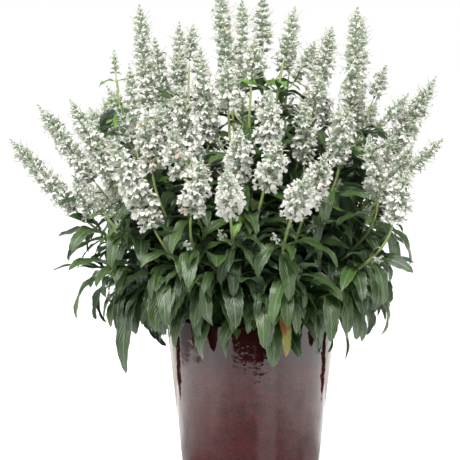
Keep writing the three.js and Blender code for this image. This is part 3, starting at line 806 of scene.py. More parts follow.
def scattered(template):
    """Copies of a crumb strewn evenly over the mix."""
    rng = np.random.default_rng(CRUMBS.seed)
    count = CRUMBS.count
    reach = (pot_radius(SOIL.top) - POT.wall - CRUMBS.margin) * np.sqrt(rng.random(count))
    bearing = TURN * rng.random(count)
    level = np.full(count, SOIL.top + CRUMBS.rise)
    spots = np.stack([reach * np.cos(bearing), reach * np.sin(bearing), level], axis=1)
    spots[:, 2] += heave(spots[:, 0], spots[:, 1])
    stretch = rng.uniform(CRUMBS.least, CRUMBS.most, (count, 1, 3)) * (1, 1, CRUMBS.flatness)
    return spots[:, None] + template.points[None] * stretch, rng.random(count)


soil = Pile()
soil_body = soil_template()
soil.add(soil_body, soil_body.points[None], np.array([0.5]))
crumb = crumb_template()
soil.add(crumb, *scattered(crumb))
soil.piece("potting_mix_top", potting_mix, "potting_mix", "potting_mix")
print("potting mix: top at", SOIL.top, "mm,", triangles["potting_mix_top"], "triangles")

# %% [markdown]
# ## How the plant grows
# The stems have to run where the packed solids run, so the same rule is followed again: a stem rises from
# the nearest crown, bends over to its spike, and bears a pair of leaves every so often. A stem that met
# another one tried a different bow. Which try it kept is read from the solids: the try whose corners lie on
# the packed mesh is the one.

# %% Spikes, measured on the packed solids
WIDEST_RING = 0.94  # a packed spike's widest corners stand at about this share of its reach


def unit(vector):
    return vector / np.linalg.norm(vector)


def level_way(bearing):
    return np.array([math.cos(bearing), math.sin(bearing), 0.0])


def draw(a, b):
    """A number from 0 to 1 that is always the same for the same pair."""
    s = math.sin(a * 127.1 + b * 311.7 + 74.7) * 43758.5453
    return s - math.floor(s)


def draw_about(a, b, spread):
    return spread * (draw(a, b) - 0.5)


def measured_spike(name):
    """The tip is the point furthest from the lowest one. The four furthest from the tip ring the foot."""
    points = np.unique(np.round(points_of(name), 3), axis=0)
    lowest = points[points[:, 2].argmin()]
    tip = points[np.linalg.norm(points - lowest, axis=1).argmax()]
    foot = points[np.linalg.norm(points - tip, axis=1).argsort()[-4:]].mean(0)
    axis = unit(tip - foot)
    off_axis = points - foot - np.outer((points - foot) @ axis, axis)
    reach = np.linalg.norm(off_axis, axis=1).max() / WIDEST_RING
    length = math.dist(tip, foot)
    return SimpleNamespace(name=name, tip=tip, foot=foot, axis=axis, reach=reach, length=length)


spike_names = sorted(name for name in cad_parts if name.startswith("flower_spike"))
spikes = [measured_spike(name) for name in spike_names]
print("spikes:", len(spikes), "lengths", round(min(s.length for s in spikes)), "to",
      round(max(s.length for s in spikes)), "mm")

# %% Crowns and what rises from them
GOLDEN_ANGLE = math.radians(137.5)
SEAT_GAP = 0.35  # between a packed spike's foot and the end of its stem
CROWN = SimpleNamespace(count=12, spread=66, radius=10, edge_height=1, top_radius=3.5, height=8,
                        fewest_sides=4, most_stems=6, pull=0.33)
STEM = SimpleNamespace(base=2.3, top=1.6, flare=9, uprightness=0.75, twist=1.6, node_spacing=31,
                       lowest_node=30, tip_share=0.9)
# A bow is how far aside and how far up a try bends. A pull is how far the curve's handles reach, as a share.
BOWS = [(0, 0), (7, 0), (-7, 0), (0, 9), (0, -9), (13, 5), (-13, 5), (13, -5), (-13, -5), (20, 0),
        (-20, 0), (26, 8), (-26, 8), (0, 18), (0, -16), (18, -12), (-18, -12)]
PULLS = [0.38, 0.3, 0.46, 0.22, 0.54]
OUTER = SimpleNamespace(bare=38, bare_spread=22, pairs=3, droop=98, size=0.94)
INNER = SimpleNamespace(bare=38, bare_spread=22, pairs=2, droop=92, size=0.84)
BASAL = SimpleNamespace(bare=5, bare_spread=22, pairs=3, droop=96, size=1.06)
OUTER_FROM = 95  # a stem whose spike stands further out than this has the outer habit
SHOOT = SimpleNamespace(count=20, turn_spread=0.3, reach=132, reach_spread=24, widen=1.18, shift=-10,
                        height=282, height_spread=60, slope=0.5, outward=1.5)
# Tip and foot of each tight bud, which is part of its packed stem.
BUD_SPIKES = [((-168, 45, 546), (-166, 42, 520)), ((-197, -78, 400), (-178, -66, 365)),
              ((52, 112, 537), (49, 110, 512))]
BUD_REACH = 7


def crown_place(k):
    reach = CROWN.spread * math.sqrt((k + 0.5) / CROWN.count)
    angle = k * GOLDEN_ANGLE
    return np.array([reach * math.cos(angle), reach * math.sin(angle), SOIL.top])


def of_crown(crown, growths):
    return [growth for growth in growths if growth.crown is crown]


crowns = [SimpleNamespace(number=k, place=crown_place(k), load=0) for k in range(CROWN.count)]


def nearest_crown(end):
    wanted = np.array([end[0] * CROWN.pull, end[1] * CROWN.pull, SOIL.top])
    open_ones = [crown for crown in crowns if crown.load < CROWN.most_stems]
    nearest = min(open_ones, key=lambda crown: math.dist(crown.place, wanted))
    nearest.load += 1
    return nearest


def flowering_stem(spike, end, bud=False):
    habit = OUTER if math.hypot(end[0], end[1]) > OUTER_FROM else INNER
    crown = nearest_crown(end)
    return SimpleNamespace(crown=crown, end=end, axis=spike.axis, habit=habit, spike=spike, bud=bud)


def basal_shoot(k):
    out = level_way(k / SHOOT.count * TURN + SHOOT.turn_spread * draw(k, 21))
    end = out * (SHOOT.reach + draw_about(k, 22, SHOOT.reach_spread))
    end[0] = end[0] * SHOOT.widen + SHOOT.shift
    end[2] = SHOOT.height + draw_about(k, 23, SHOOT.height_spread)
    axis = unit(out + SHOOT.slope * UP)
    crown = nearest_crown(end * SHOOT.outward)
    return SimpleNamespace(crown=crown, end=end, axis=axis, habit=BASAL, spike=None, bud=False)


def bud_spike(tip, foot):
    tip, foot = np.array(tip, float), np.array(foot, float)
    return SimpleNamespace(name=None, tip=tip, foot=foot, axis=unit(tip - foot), reach=BUD_REACH,
                           length=math.dist(tip, foot))


buds = [bud_spike(*ends) for ends in BUD_SPIKES]
stems = [flowering_stem(spike, spike.foot - SEAT_GAP * spike.axis) for spike in spikes]
stems += [flowering_stem(bud, bud.foot, bud=True) for bud in buds]
stems += [basal_shoot(k) for k in range(SHOOT.count)]
for number, stem in enumerate(stems):
    stem.number = number
print("stems:", len(stems))


# %% Stems round their crowns
def crown_ring(crown, sides, radius, rise):
    angles = [j / sides * TURN + crown.turn - math.pi / sides for j in range(sides)]
    return [crown.place + np.array([radius * math.cos(a), radius * math.sin(a), rise]) for a in angles]


def arrange(crown):
    """Gives each stem its own side of the crown, so that no two cross at the foot."""
    own = of_crown(crown, stems)
    lean = {stem.number: (stem.end - crown.place) / (stem.end[2] - SOIL.top) for stem in own}
    middle = sum(lean.values()) / len(own)
    bearing = {n: math.atan2(way[1] - middle[1], way[0] - middle[0]) for n, way in lean.items()}
    own.sort(key=lambda stem: bearing[stem.number])
    sides = max(CROWN.fewest_sides, len(own))
    facets = [math.floor(n * sides / len(own) + 0.5) for n in range(len(own))]
    angles = [bearing[stem.number] - facet / sides * TURN for stem, facet in zip(own, facets)]
    crown.turn = math.atan2(sum(map(math.sin, angles)), sum(map(math.cos, angles)))
    edge = crown_ring(crown, sides, CROWN.radius, CROWN.edge_height)
    top = crown_ring(crown, sides, CROWN.top_radius, CROWN.height)
    for stem, facet in zip(own, facets):
        after = (facet + 1) % sides
        stem.start = (edge[facet] + edge[after] + top[after] + top[facet]) / 4
        stem.corner = edge[facet]


for crown in crowns:
    arrange(crown)


# %% The run of a stem
def stem_controls(stem, attempt):
    aside, lift = BOWS[attempt % len(BOWS)]
    pull = PULLS[attempt // len(BOWS)] * math.dist(stem.start, stem.end)
    bow = stem.across * aside + UP * lift
    rise = unit(unit(stem.end - stem.start) + STEM.uprightness * UP)
    from_start = stem.start + rise * pull + bow
    from_end = stem.end - stem.axis * pull + bow / 2
    return np.array([stem.start, from_start, from_end, stem.end])


def along_stem(stem, t):
    """Centre, and the two directions across the stem that its first facets face, at places t."""
    t = np.atleast_1d(np.asarray(t, float))[:, None]
    a, b, c, d = stem.controls
    centre = (1 - t) ** 3 * a + 3 * (1 - t) ** 2 * t * b + 3 * (1 - t) * t**2 * c + t**3 * d
    tangent = (1 - t) ** 2 * (b - a) + 2 * (1 - t) * t * (c - b) + t**2 * (d - c)
    tangent /= np.linalg.norm(tangent, axis=1, keepdims=True)
    over = stem.across - (tangent @ stem.across)[:, None] * tangent
    over /= np.linalg.norm(over, axis=1, keepdims=True)
    sideways = np.cross(tangent, over)
    angle = stem.phase + stem.twist * t
    first = np.cos(angle) * over + np.sin(angle) * sideways
    second = np.cos(angle) * sideways - np.sin(angle) * over
    return centre, tangent, first, second


def at_place(stem, t):
    """The same four at a single place."""
    return tuple(values[0] for values in along_stem(stem, t))


def bend(stem, attempt):
    lean = stem.end - stem.start
    stem.across = unit(np.array([-lean[1], lean[0], 0.0]))
    stem.controls = stem_controls(stem, attempt)
    stem.phase = stem.twist = 0.0
    run = along_stem(stem, np.linspace(0, 1, 201))[0]
    stem.length = np.linalg.norm(np.diff(run, axis=0), axis=1).sum()
    centre, _, over, sideways = at_place(stem, STEM.flare / stem.length)
    corner = stem.corner - centre
    stem.phase = math.atan2(corner @ sideways, corner @ over)
    stem.twist = draw_about(stem.number, 31, STEM.twist)
    highest = stem.length - stem.habit.bare - stem.habit.bare_spread * draw(stem.number, 9)
    runs = highest - STEM.node_spacing * np.arange(stem.habit.pairs)
    stem.pairs = list(runs[runs > STEM.lowest_node] / stem.length)


def solid_corners(name):
    points = points_of(name)
    tree = KDTree(len(points))
    for index, point in enumerate(points):
        tree.insert(point, index)
    tree.balance()
    return tree


MATCH = 0.05  # mm between a point and the packed corner that it is


def lies_on(tree, points):
    return all(tree.find(point)[2] < MATCH for point in points)


def corners_at(stem, t):
    centre, _, first, second = at_place(stem, t)
    radius = STEM.base + (STEM.top - STEM.base) * t
    return [centre + radius * way for way in (first, second, -first, -second)]


for crown in crowns:
    crown.name = f"leafy_stems_{crown.number + 1:02d}"
    crown.corners = solid_corners(crown.name)


def settle(stem):
    """Finds the bow that the packed stem took."""
    for attempt in range(len(BOWS) * len(PULLS)):
        bend(stem, attempt)
        if lies_on(stem.crown.corners, corners_at(stem, STEM.flare / stem.length)):
            return attempt
    raise RuntimeError(f"stem {stem.number} isn't on the packed model")


tries = [settle(stem) for stem in stems]
print("stems found:", len(tries), "of them bowed:", sum(t > 0 for t in tries))

# %% [markdown]
# ## Leaves
# A leaf is a lance-shaped blade on a short stalk, folded along its midrib, waved at its margins and arched
# over to its tip. Modifiers could bend it, but each leaf would have to be an object of its own. Here a blade
# template is bent by a formula, and each copy follows its own arc. The packed leaves say where the large
# ones are: a try that ends where a packed leaf ends is the one that grew.

# %% Leaf growth
LEAF = SimpleNamespace(length=75, width=23, least_size=0.84, size_spread=0.3, fold=0.24, uprightness=0.8,
                       flatten=0.8, bearing_spread=0.6, pitch_spread=0.4, droop_spread=40, roll_spread=1.1,
                       attempts=12)
RETRY = SimpleNamespace(bearing=0.2, pitch=0.08, shrinking=0.03)  # a further try strays more and is smaller


def facing(first, second, turn):
    return math.cos(turn) * first + math.sin(turn) * second


def leaf_growth(stem, pair, side, attempt):
    key = stem.number * 31 + pair * 7 + side * 3
    facet = (pair + stem.number) % 2 + 2 * side
    centre, tangent, first, second = at_place(stem, stem.pairs[pair])
    out = facing(first, second, (facet + 0.5) / 4 * TURN)
    start = unit(out + tangent * LEAF.uprightness)
    series = 10 * attempt  # each try has its own draws
    astray = draw_about(key, 1 + series, LEAF.bearing_spread + RETRY.bearing * attempt)
    raised = draw_about(key, 2 + series, LEAF.pitch_spread + RETRY.pitch * attempt)
    size = LEAF.least_size + LEAF.size_spread * draw(key, 3)
    size = size * (1 - RETRY.shrinking * attempt) * stem.habit.size
    return SimpleNamespace(
        root=centre + out * STEM.top * math.sqrt(0.5),
        heading=level_way(math.atan2(start[1], start[0]) + astray),
        pitch=math.asin(start[2]) * LEAF.flatten + raised,
        droop=math.radians(stem.habit.droop + draw_about(key, 4 + series, LEAF.droop_spread)),
        roll=draw_about(key, 5 + series, LEAF.roll_spread),
        length=LEAF.length * size,
        width=LEAF.width * size,
        key=key,
        young=False,
    )


def leaf_frame(leaf, t):
    """Centre of the midrib, and the directions across and out of the blade, at places t along it."""
    angle = (leaf.pitch - leaf.droop * t)[:, None]
    bend_radius = leaf.length / leaf.droop
    ahead = bend_radius * (math.sin(leaf.pitch) - np.sin(angle))
    rise = bend_radius * (np.cos(angle) - math.cos(leaf.pitch))
    across = np.cross(leaf.heading, UP)
    face = np.cos(angle) * UP - np.sin(angle) * leaf.heading
    roll = (leaf.roll * t)[:, None]
    sideways = np.cos(roll) * across + np.sin(roll) * face
    upward = np.cos(roll) * face - np.sin(roll) * across
    return leaf.root + ahead * leaf.heading + rise * UP, sideways, upward


def tip_of(leaf):
    return leaf_frame(leaf, np.array([1.0]))[0][0]


def grown_leaf(stem, pair, side):
    for attempt in range(LEAF.attempts):
        leaf = leaf_growth(stem, pair, side, attempt)
        if lies_on(stem.crown.corners, [tip_of(leaf)]):
            return leaf
    return None


for stem in stems:
    found = [grown_leaf(stem, pair, side) for pair in range(len(stem.pairs)) for side in (0, 1)]
    stem.leaves = [leaf for leaf in found if leaf]
print("large leaves found:", sum(len(stem.leaves) for stem in stems))

# %% Leaf blades
STALK = SimpleNamespace(share=0.1, half_width=0.07, half_thickness=0.8)
MARGIN = SimpleNamespace(bluntness=0.52, skew=0.78, slimness=0.92, wave=1.9, waves=2.3, out_of_step=0.9)
TEETH = SimpleNamespace(count=8, depth=0.045, inner_edge=0.9)
RIB = SimpleNamespace(half_width=0.2, above=0.25, below=0.8, taper=0.7)
HALF_THICKNESS = 0.28
BRIGHTEST = 0.96  # the highest tone of an ordinary leaf
large_blade = Template(blade(16, 8))
small_blade = Template(blade(9, 6))
print("leaf blades:", len(large_blade.points), "and", len(small_blade.points), "points")


def outline(t):
    """Half the width of the blade, as a share of its widest, at places t along it."""
    s = np.clip((t - STALK.share) / (1 - STALK.share), 0, 1)
    lance = MARGIN.slimness * np.sin(np.pi * s**MARGIN.skew) ** MARGIN.bluntness
    return np.maximum(STALK.half_width * (1 - t), lance)


def leaf_points(leaf, template):
    t, v, n = template.points.T
    centre, sideways, upward = leaf_frame(leaf, t)
    at_edge = np.abs(v) > TEETH.inner_edge
    tooth = 1 - TEETH.depth * (1 + np.cos(TURN * TEETH.count * t)) * at_edge
    half = leaf.width / 2 * outline(t) * tooth
    wave_start = 0.5 * draw(leaf.key, 6)
    ripple = np.sin(TURN * (MARGIN.waves * t + wave_start) + MARGIN.out_of_step * np.sign(v))
    lift = LEAF.fold * half * np.abs(v) + MARGIN.wave * ripple * v**2 * outline(t)
    rib = np.where(n > 0, RIB.above, RIB.below * (1 - RIB.taper * t)) * (np.abs(v) < RIB.half_width)
    thick = n * (HALF_THICKNESS + rib)
    stalk = np.clip(1 - t / STALK.share, 0, 1)
    thick = thick * (1 - stalk) + STALK.half_thickness * n * stalk
    return centre + sideways * (half * v)[:, None] + upward * (lift + thick)[:, None]


def tone_for(leaf):
    if leaf is old_leaf:
        return OLD_TONE
    return YOUNG_TONE if leaf.young else BRIGHTEST * draw(leaf.key, 8)


def add_leaf(pile, leaf, template):
    pile.add(template, leaf_points(leaf, template)[None], np.array([tone_for(leaf)]))


# %% [markdown]
# ## Smaller leaves
# Between the large pairs a real sage carries many small leaves: tufts in the angles of the large ones, and
# pairs lower down that fill the bush. Leaves strewn at random would float beside their stems, so these start
# on the stems and follow the same arcs, with their own seeded draws. Each leaf has a key of its own for
# them. Long old leaves hang from the outer shoots, and narrow young ones stand in pairs under a tight bud.

# %% Small leaves
FILL = SimpleNamespace(spacing=12, lowest=14, bare=30, shoot_bare=4, above_pair=3, turn_spread=0.8,
                       shortest=0.4, longest=0.95, start=0.25, ageing=1.2, spread=0.7)
TUFT = SimpleNamespace(rise=0.7, rise_spread=1.2, bearing_spread=2.2, flatten=0.9, pitch_spread=0.8,
                       droop=76, droop_spread=110, roll_spread=2.0, width=0.9, width_spread=0.3)
FRESH = SimpleNamespace(share=0.5, fading=2.5)  # share of the topmost ones that are still a young green
HANGING = SimpleNamespace(chance=0.4, run=0.62, run_spread=0.3, size=1.08, size_spread=0.2,
                          bearing_spread=0.8, pitch=0.2, pitch_spread=0.4, droop=105, droop_spread=30,
                          roll_spread=1.0)
BRACTS = [(3, 0.1, 0.9), (12, 0.34, 0.85), (38, 0.32, 0.8), (61, 0.36, 0.7)]  # mm below the bud, size, width
BRACT = SimpleNamespace(rise=0.3, turn_spread=0.5, bearing_spread=0.9, pitch=0.45, pitch_spread=0.4,
                        droop=85, roll=0.8)


def small_leaf(stem, s, turn, key, size, slimness=1.0, rise=TUFT.rise):
    """A leaf that starts s millimetres up its stem."""
    centre, tangent, first, second = at_place(stem, s / stem.length)
    out = facing(first, second, turn)
    start = unit(out + tangent * draw_about(key, 61, TUFT.rise_spread) + tangent * rise)
    bearing = math.atan2(start[1], start[0]) + draw_about(key, 62, TUFT.bearing_spread)
    return SimpleNamespace(
        root=centre + out * STEM.top * 0.5,
        heading=level_way(bearing),
        pitch=math.asin(start[2]) * TUFT.flatten + draw_about(key, 63, TUFT.pitch_spread),
        droop=math.radians(TUFT.droop + draw_about(key, 64, TUFT.droop_spread)),
        roll=draw_about(key, 65, TUFT.roll_spread),
        length=LEAF.length * size,
        width=LEAF.width * size * slimness * (TUFT.width + draw_about(key, 66, TUFT.width_spread)),
        key=key,
        young=False,
    )


def small_leaves(stem):
    """Pairs down the stem, from small ones near the top to long old ones near the pot."""
    highest = stem.length - (FILL.bare if stem.spike else FILL.shoot_bare)
    if stem.spike and stem.pairs:
        highest = min(highest, stem.pairs[0] * stem.length + FILL.above_pair)
    for k, s in enumerate(np.arange(highest, FILL.lowest, -FILL.spacing)):
        age = 1 - s / stem.length
        for side in (0, 1):
            key = 5000 + stem.number * 97 + k * 5 + side * 2
            turn = (k % 2) * TURN / 4 + side * TURN / 2 + draw_about(key, 67, FILL.turn_spread)
            grown = min(1.0, FILL.start + FILL.ageing * age + draw_about(key, 68, FILL.spread))
            size = FILL.shortest + (FILL.longest - FILL.shortest) * max(0.0, grown)
            leaf = small_leaf(stem, s, turn, key, size)
            leaf.young = bool(stem.spike) and draw(key, 91) < FRESH.share * (1 - FRESH.fading * age)
            yield leaf


def hanging_leaf(stem):
    """A long leaf from low on an outer shoot, which hangs past the rim."""
    key = 8600 + stem.number
    run = HANGING.run + draw_about(key, 60, HANGING.run_spread)
    size = HANGING.size + draw_about(key, 68, HANGING.size_spread)
    leaf = small_leaf(stem, stem.length * run, 0.0, key, size)
    out = math.atan2(stem.end[1], stem.end[0])
    leaf.heading = level_way(out + draw_about(key, 62, HANGING.bearing_spread))
    leaf.pitch = HANGING.pitch + draw_about(key, 63, HANGING.pitch_spread)
    leaf.droop = math.radians(HANGING.droop + draw_about(key, 64, HANGING.droop_spread))
    leaf.roll = draw_about(key, 65, HANGING.roll_spread)
    return leaf


def bracts(stem):
    for k, (below, size, slimness) in enumerate(BRACTS):
        for side in (0, 1):
            key = 8000 + stem.number * 31 + k * 5 + side * 2
            turn = side * TURN / 2 + draw_about(key, 67, BRACT.turn_spread) + stem.number
            leaf = small_leaf(stem, stem.length - below, turn, key, size, slimness, rise=BRACT.rise)
            leaf.heading = level_way(math.pi * side + draw_about(key, 62, BRACT.bearing_spread))
            leaf.pitch = BRACT.pitch + draw_about(key, 63, BRACT.pitch_spread)
            leaf.droop = math.radians(BRACT.droop)
            leaf.roll = -BRACT.roll if side == 0 else BRACT.roll
            leaf.young = True
            yield leaf


# %% [markdown]
# ## Reaching leaves
# Some leaves stand out from the rest: they hang over the rim, or reach out at the sides. Drawn at random,
# they would end anywhere. So each has a given tip, droop and width, and the stem that it grows from is
# searched for: of all places on all stems, the one where it comes out most like a real leaf. One of them has
# yellowed.

# %% Reaching leaves
REACHING_LEAVES = [  # tip, droop in degrees, width
    ((-150, -70, 165), 105, 24),
    ((-210, -40, 225), 105, 14),
    ((-240, -40, 285), 60, 11),
    ((-230, -50, 365), 25, 17),
    ((-220, -45, 300), 90, 12),
    ((-160, -80, 220), 85, 16),
    ((-150, -85, 230), 80, 14),
    ((-110, -115, 235), 70, 22),
    ((-100, -145, 240), 70, 20),
    ((-90, -110, 205), 115, 18),
    ((-85, -115, 220), 100, 15),
    ((-75, -150, 280), 70, 20),
    ((-60, -115, 220), 120, 12),
    ((-50, -150, 265), 75, 17),
    ((-30, -120, 195), 120, 12),
    ((-5, -120, 225), 120, 16),
    ((25, -120, 185), 110, 26),
    ((25, -150, 240), 80, 20),
    ((75, -110, 195), 120, 16),
    ((80, -90, 200), 120, 13),
    ((100, -105, 240), 80, 16),
    ((130, -60, 220), 100, 15),
    ((160, -95, 300), 140, 13),
    ((165, 0, 215), 95, 16),
    ((185, -80, 290), 60, 6),
]
OLD_LEAF = ((40, -110, 195), 110, 15)
ROOTING = SimpleNamespace(lowest=0.25, highest=0.97, places=37, broad=15, pitch=0.3, roll_spread=0.7,
                          length_weight=3, pitch_weight=0.4, turn_weight=0.6)

stem_places = np.linspace(ROOTING.lowest, ROOTING.highest, ROOTING.places)
roots = np.concatenate([along_stem(stem, stem_places)[0] for stem in stems])


def reaching_leaf(tip, droop, width, key):
    """Grows a leaf that ends at a given tip. Of all places on all stems it starts from the one where it
    comes out nearest to the usual length and leaves its stem slightly upward. A narrow leaf heads straight
    out of the bush, and a broad one for the front, where its face shows."""
    droop = math.radians(droop)
    reach = np.array(tip, float) - roots
    level = np.linalg.norm(reach[:, :2], axis=1)
    length = np.linalg.norm(reach, axis=1) * droop / 2 / math.sin(droop / 2)
    pitch = np.arctan2(reach[:, 2], level) + droop / 2
    outward = (reach[:, :2] * roots[:, :2]).sum(1) / level / np.linalg.norm(roots[:, :2], axis=1)
    turned = -reach[:, 1] / level if width > ROOTING.broad else outward
    misfit = ROOTING.length_weight * abs(length / LEAF.length - 1)
    misfit += ROOTING.turn_weight * (1 - turned) + ROOTING.pitch_weight * abs(pitch - ROOTING.pitch)
    best = misfit.argmin()
    heading = unit(reach[best] * (1, 1, 0))
    roll = draw_about(key, 65, ROOTING.roll_spread)
    leaf = SimpleNamespace(root=roots[best], heading=heading, pitch=pitch[best], droop=droop, roll=roll,
                           length=length[best], width=width, key=key, young=False)
    stems[best // ROOTING.places].leaves.append(leaf)
    return leaf


reaching = [reaching_leaf(*row, key=8700 + 3 * k) for k, row in enumerate(REACHING_LEAVES)]
old_leaf = reaching_leaf(*OLD_LEAF, key=8690)
print("lengths of the reaching leaves:", [round(leaf.length) for leaf in reaching], "mm")

# %% Leaves of each crown
OVER_THE_RIM = SimpleNamespace(share=0.35, margin=15)  # how many of the small leaves that hang there stay


def stays(leaf):
    tip = tip_of(leaf)
    hangs = tip[2] < POT.height and math.hypot(tip[0], tip[1]) > POT.rim - OVER_THE_RIM.margin
    return not hangs or draw(leaf.key, 69) < OVER_THE_RIM.share


for stem in stems:
    stem.small_leaves = [leaf for leaf in small_leaves(stem) if stays(leaf)]
    if stem.bud:
        stem.small_leaves += bracts(stem)
    if stem.habit is BASAL and draw(stem.number, 59) < HANGING.chance:
        stem.leaves.append(hanging_leaf(stem))
for crown in crowns:
    leaves = Pile()
    for stem in of_crown(crown, stems):
        for leaf in stem.leaves:
            add_leaf(leaves, leaf, large_blade)
        for leaf in stem.small_leaves:
            add_leaf(leaves, leaf, small_blade)
    leaves.piece(f"leaves_{crown.number + 1:02d}", leaf_green, "leaf", crown.name)
print("small leaves:", sum(len(stem.small_leaves) for stem in stems))

# %% [markdown]
# ## Side shoots
# In the upper leaf angles of a real sage stand short side shoots, each with a small spike of its own. They
# could be copies of one shoot, but then the small spikes would all look alike. Each has a curve of its own
# instead, from its own draws. Stems near the front, and those of tight buds, bear small buds alone.

# %% Side shoots
SIDE = SimpleNamespace(chance=0.9, stalk=36, stalk_spread=26, spike=46, spike_spread=26, reach=13)
BUDDING = SimpleNamespace(chance=0.6, stalk=13, stalk_spread=8, spike=12, spike_spread=8, reach=4.5)
BUD_PAIR = SimpleNamespace(chance=1.0, stalk=10, stalk_spread=4, spike=8, spike_spread=2, reach=3.8)
BUD_PAIR_BELOW = 40  # from the foot of a tight bud down to its pair of smaller ones
FRONT_SPIKES = -60  # the stems of spikes nearer to the front than this bear small buds alone
SPROUT = SimpleNamespace(along=1.5, out=0.8, up=0.6, bend=1.2, pull=0.4, reach_spread=0.3, base=1.1, top=0.9)


def side_shoot(stem, side):
    key = 9000 + stem.number * 7 + side * 3
    if not stem.spike or not stem.pairs:
        return None
    habit = BUD_PAIR if stem.bud else BUDDING if stem.spike.tip[1] < FRONT_SPIKES else SIDE
    if draw(key, 71) > habit.chance:
        return None
    place = 1 - BUD_PAIR_BELOW / stem.length if stem.bud else stem.pairs[0]
    centre, tangent, first, second = at_place(stem, place)
    out = facing(first, second, ((stem.number % 2) + 2 * side + 0.5) / 4 * TURN)
    axis = unit(tangent * SPROUT.along + out * SPROUT.out + UP * SPROUT.up)
    foot = centre + unit(tangent + out) * (habit.stalk + draw_about(key, 72, habit.stalk_spread))
    length = habit.spike + draw_about(key, 73, habit.spike_spread)
    reach = habit.reach * (1 + draw_about(key, 74, SPROUT.reach_spread))
    tip = foot + axis * length
    spike = SimpleNamespace(name=None, tip=tip, foot=foot, axis=axis, length=length, reach=reach)
    pull = SPROUT.pull * math.dist(foot, centre)
    bent_out = centre + unit(tangent + out * SPROUT.bend) * pull
    return SimpleNamespace(
        number=key,
        crown=stem.crown,
        spike=spike,
        pairs=[],
        across=unit(np.cross(UP, foot - centre)),
        controls=np.array([centre, bent_out, foot - axis * pull, foot]),
        phase=0.0,
        twist=0.0,
    )


side_shoots = [shoot for stem in stems for side in (0, 1) if (shoot := side_shoot(stem, side))]
print("side shoots:", len(side_shoots))

# %% [markdown]
# ## Stems
# A stem is a tube, thicker at the foot and a little swollen where leaves join it, and it ends inside its
# spike. A curve object with a bevel could be made a mesh, but the swellings would need a radius for each
# point. Bending a template along the stem's own curve gives them by a formula. Each crown is a low woody
# knob in the mix.

# %% Stem tubes
SWELLING = SimpleNamespace(share=0.3, reach=3)
KNOB = SimpleNamespace(sunk=1, inset=1, lobes=5, depth=0.12, flatness=0.75, tone=0.2)
stem_tube = Template(blade(28, 8))
shoot_tube = Template(blade(10, 6))


def stem_points(stem, template, base, top):
    t, y, z = template.points.T
    centre, _, first, second = along_stem(stem, t)
    radius = base + (top - base) * t
    for node_place in stem.pairs:
        away = (t - node_place) * stem.length / SWELLING.reach
        radius = radius * (1 + SWELLING.share * np.exp(-(away**2)))
    around = first * y[:, None] + second * z[:, None]
    return centre + around * radius[:, None]


def knob_template():
    bm = bmesh.new()
    bmesh.ops.create_uvsphere(bm, u_segments=16, v_segments=8, radius=1)
    for v in bm.verts:
        v.co *= 1 + KNOB.depth * math.sin(KNOB.lobes * math.atan2(v.co.y, v.co.x)) * (1 - abs(v.co.z))
        v.co.z *= KNOB.flatness
    shape = Template(bm)
    shape.places[:] = 0.0
    return shape


knob = knob_template()
for crown in crowns:
    green = Pile()
    middle = crown.place - KNOB.sunk * UP
    lump = middle + knob.points * (CROWN.radius - KNOB.inset)
    green.add(knob, lump[None], np.array([KNOB.tone]))
    for stem in of_crown(crown, stems):
        tube = stem_points(stem, stem_tube, STEM.base, STEM.top * STEM.tip_share)
        green.add(stem_tube, tube[None], np.array([draw(stem.number, 51)]))
    for shoot in of_crown(crown, side_shoots):
        tube = stem_points(shoot, shoot_tube, SPROUT.base, SPROUT.top)
        green.add(shoot_tube, tube[None], np.array([draw(shoot.number, 51)]))
    green.piece(f"stems_{crown.number + 1:02d}", stem_green, "stem")
print("stem triangles:", sum(n for name, n in triangles.items() if name.startswith("stems")))

# %% [markdown]
# ## Spikes
# A spike carries rings of florets round a thin axis. A floret is a felted grey-green calyx, and from it
# comes a white corolla with a narrow hood above and a broad split lip below. Low down they are open, and
# towards the tip they are still buds and close up. Old ones leave a thin curled tube. A texture on a cone
# would look flat from the side, so every floret is a shape, but each has only a few dozen faces, as there
# are thousands.

# %% Floret templates
FLORET_SIDES = 5
LOBE = SimpleNamespace(runs=[0, 0.25, 0.5, 0.75, 1], widths=[0.4, 0.7, 1, 1, 0.62])
COROLLA_LENGTH = 10.5  # of the template, in millimetres
PLACE_LENGTH = 12  # millimetres along the tube that count as one in its "place"


def calyx_template():
    return Template(turned([(0, 0), (0.3, 0.19), (1.0, 0.24), (0.78, 0)], FLORET_SIDES))


def bud_template():
    shape = Template(turned([(0, 0), (0.25, 0.21), (0.75, 0.22), (1.0, 0)], FLORET_SIDES))
    shape.places[:, 1] = 0
    return shape


def lobe(foot, way, length, width, thickness, droop):
    """A petal lobe in a corolla's own millimetres, reaching the given way and bent down by droop."""
    part = Template(blade(4, 3))
    t, v, n = part.points.T
    half = width / 2 * np.interp(t, LOBE.runs, LOBE.widths)
    way = unit(np.array(way, float))
    aside = unit(np.cross((0, 0, 1), way))
    over = np.cross(way, aside)
    lift = n * thickness * (1 - t) - droop * length * t**2
    part.points = np.outer(length * t, way) + np.outer(half * v, aside) + np.outer(lift, over)
    part.points += foot
    part.places[:, 0] = 0.5 + 0.5 * t
    part.places[:, 1] = 0
    return part


def corolla_template():
    tube = Template(turned([(-1, 0), (4.2, 0.9), (6.2, 1.7), (4.6, 0)], FLORET_SIDES))
    tube.places[:, 0] = tube.points[:, 0] / PLACE_LENGTH
    tube.places[:, 1] = 0
    hood = lobe(foot=(5.0, 0, 0.8), way=(1.0, 0, 0.7), length=4.0, width=3.2, thickness=0.6, droop=0.35)
    lips = [
        lobe(foot=(5.2, 0, -0.7), way=(1.0, spread, -0.5), length=4.9, width=5.0, thickness=0.4, droop=0.5)
        for spread in (-0.95, 0.95)
    ]
    return Template.joined([tube, hood, *lips])


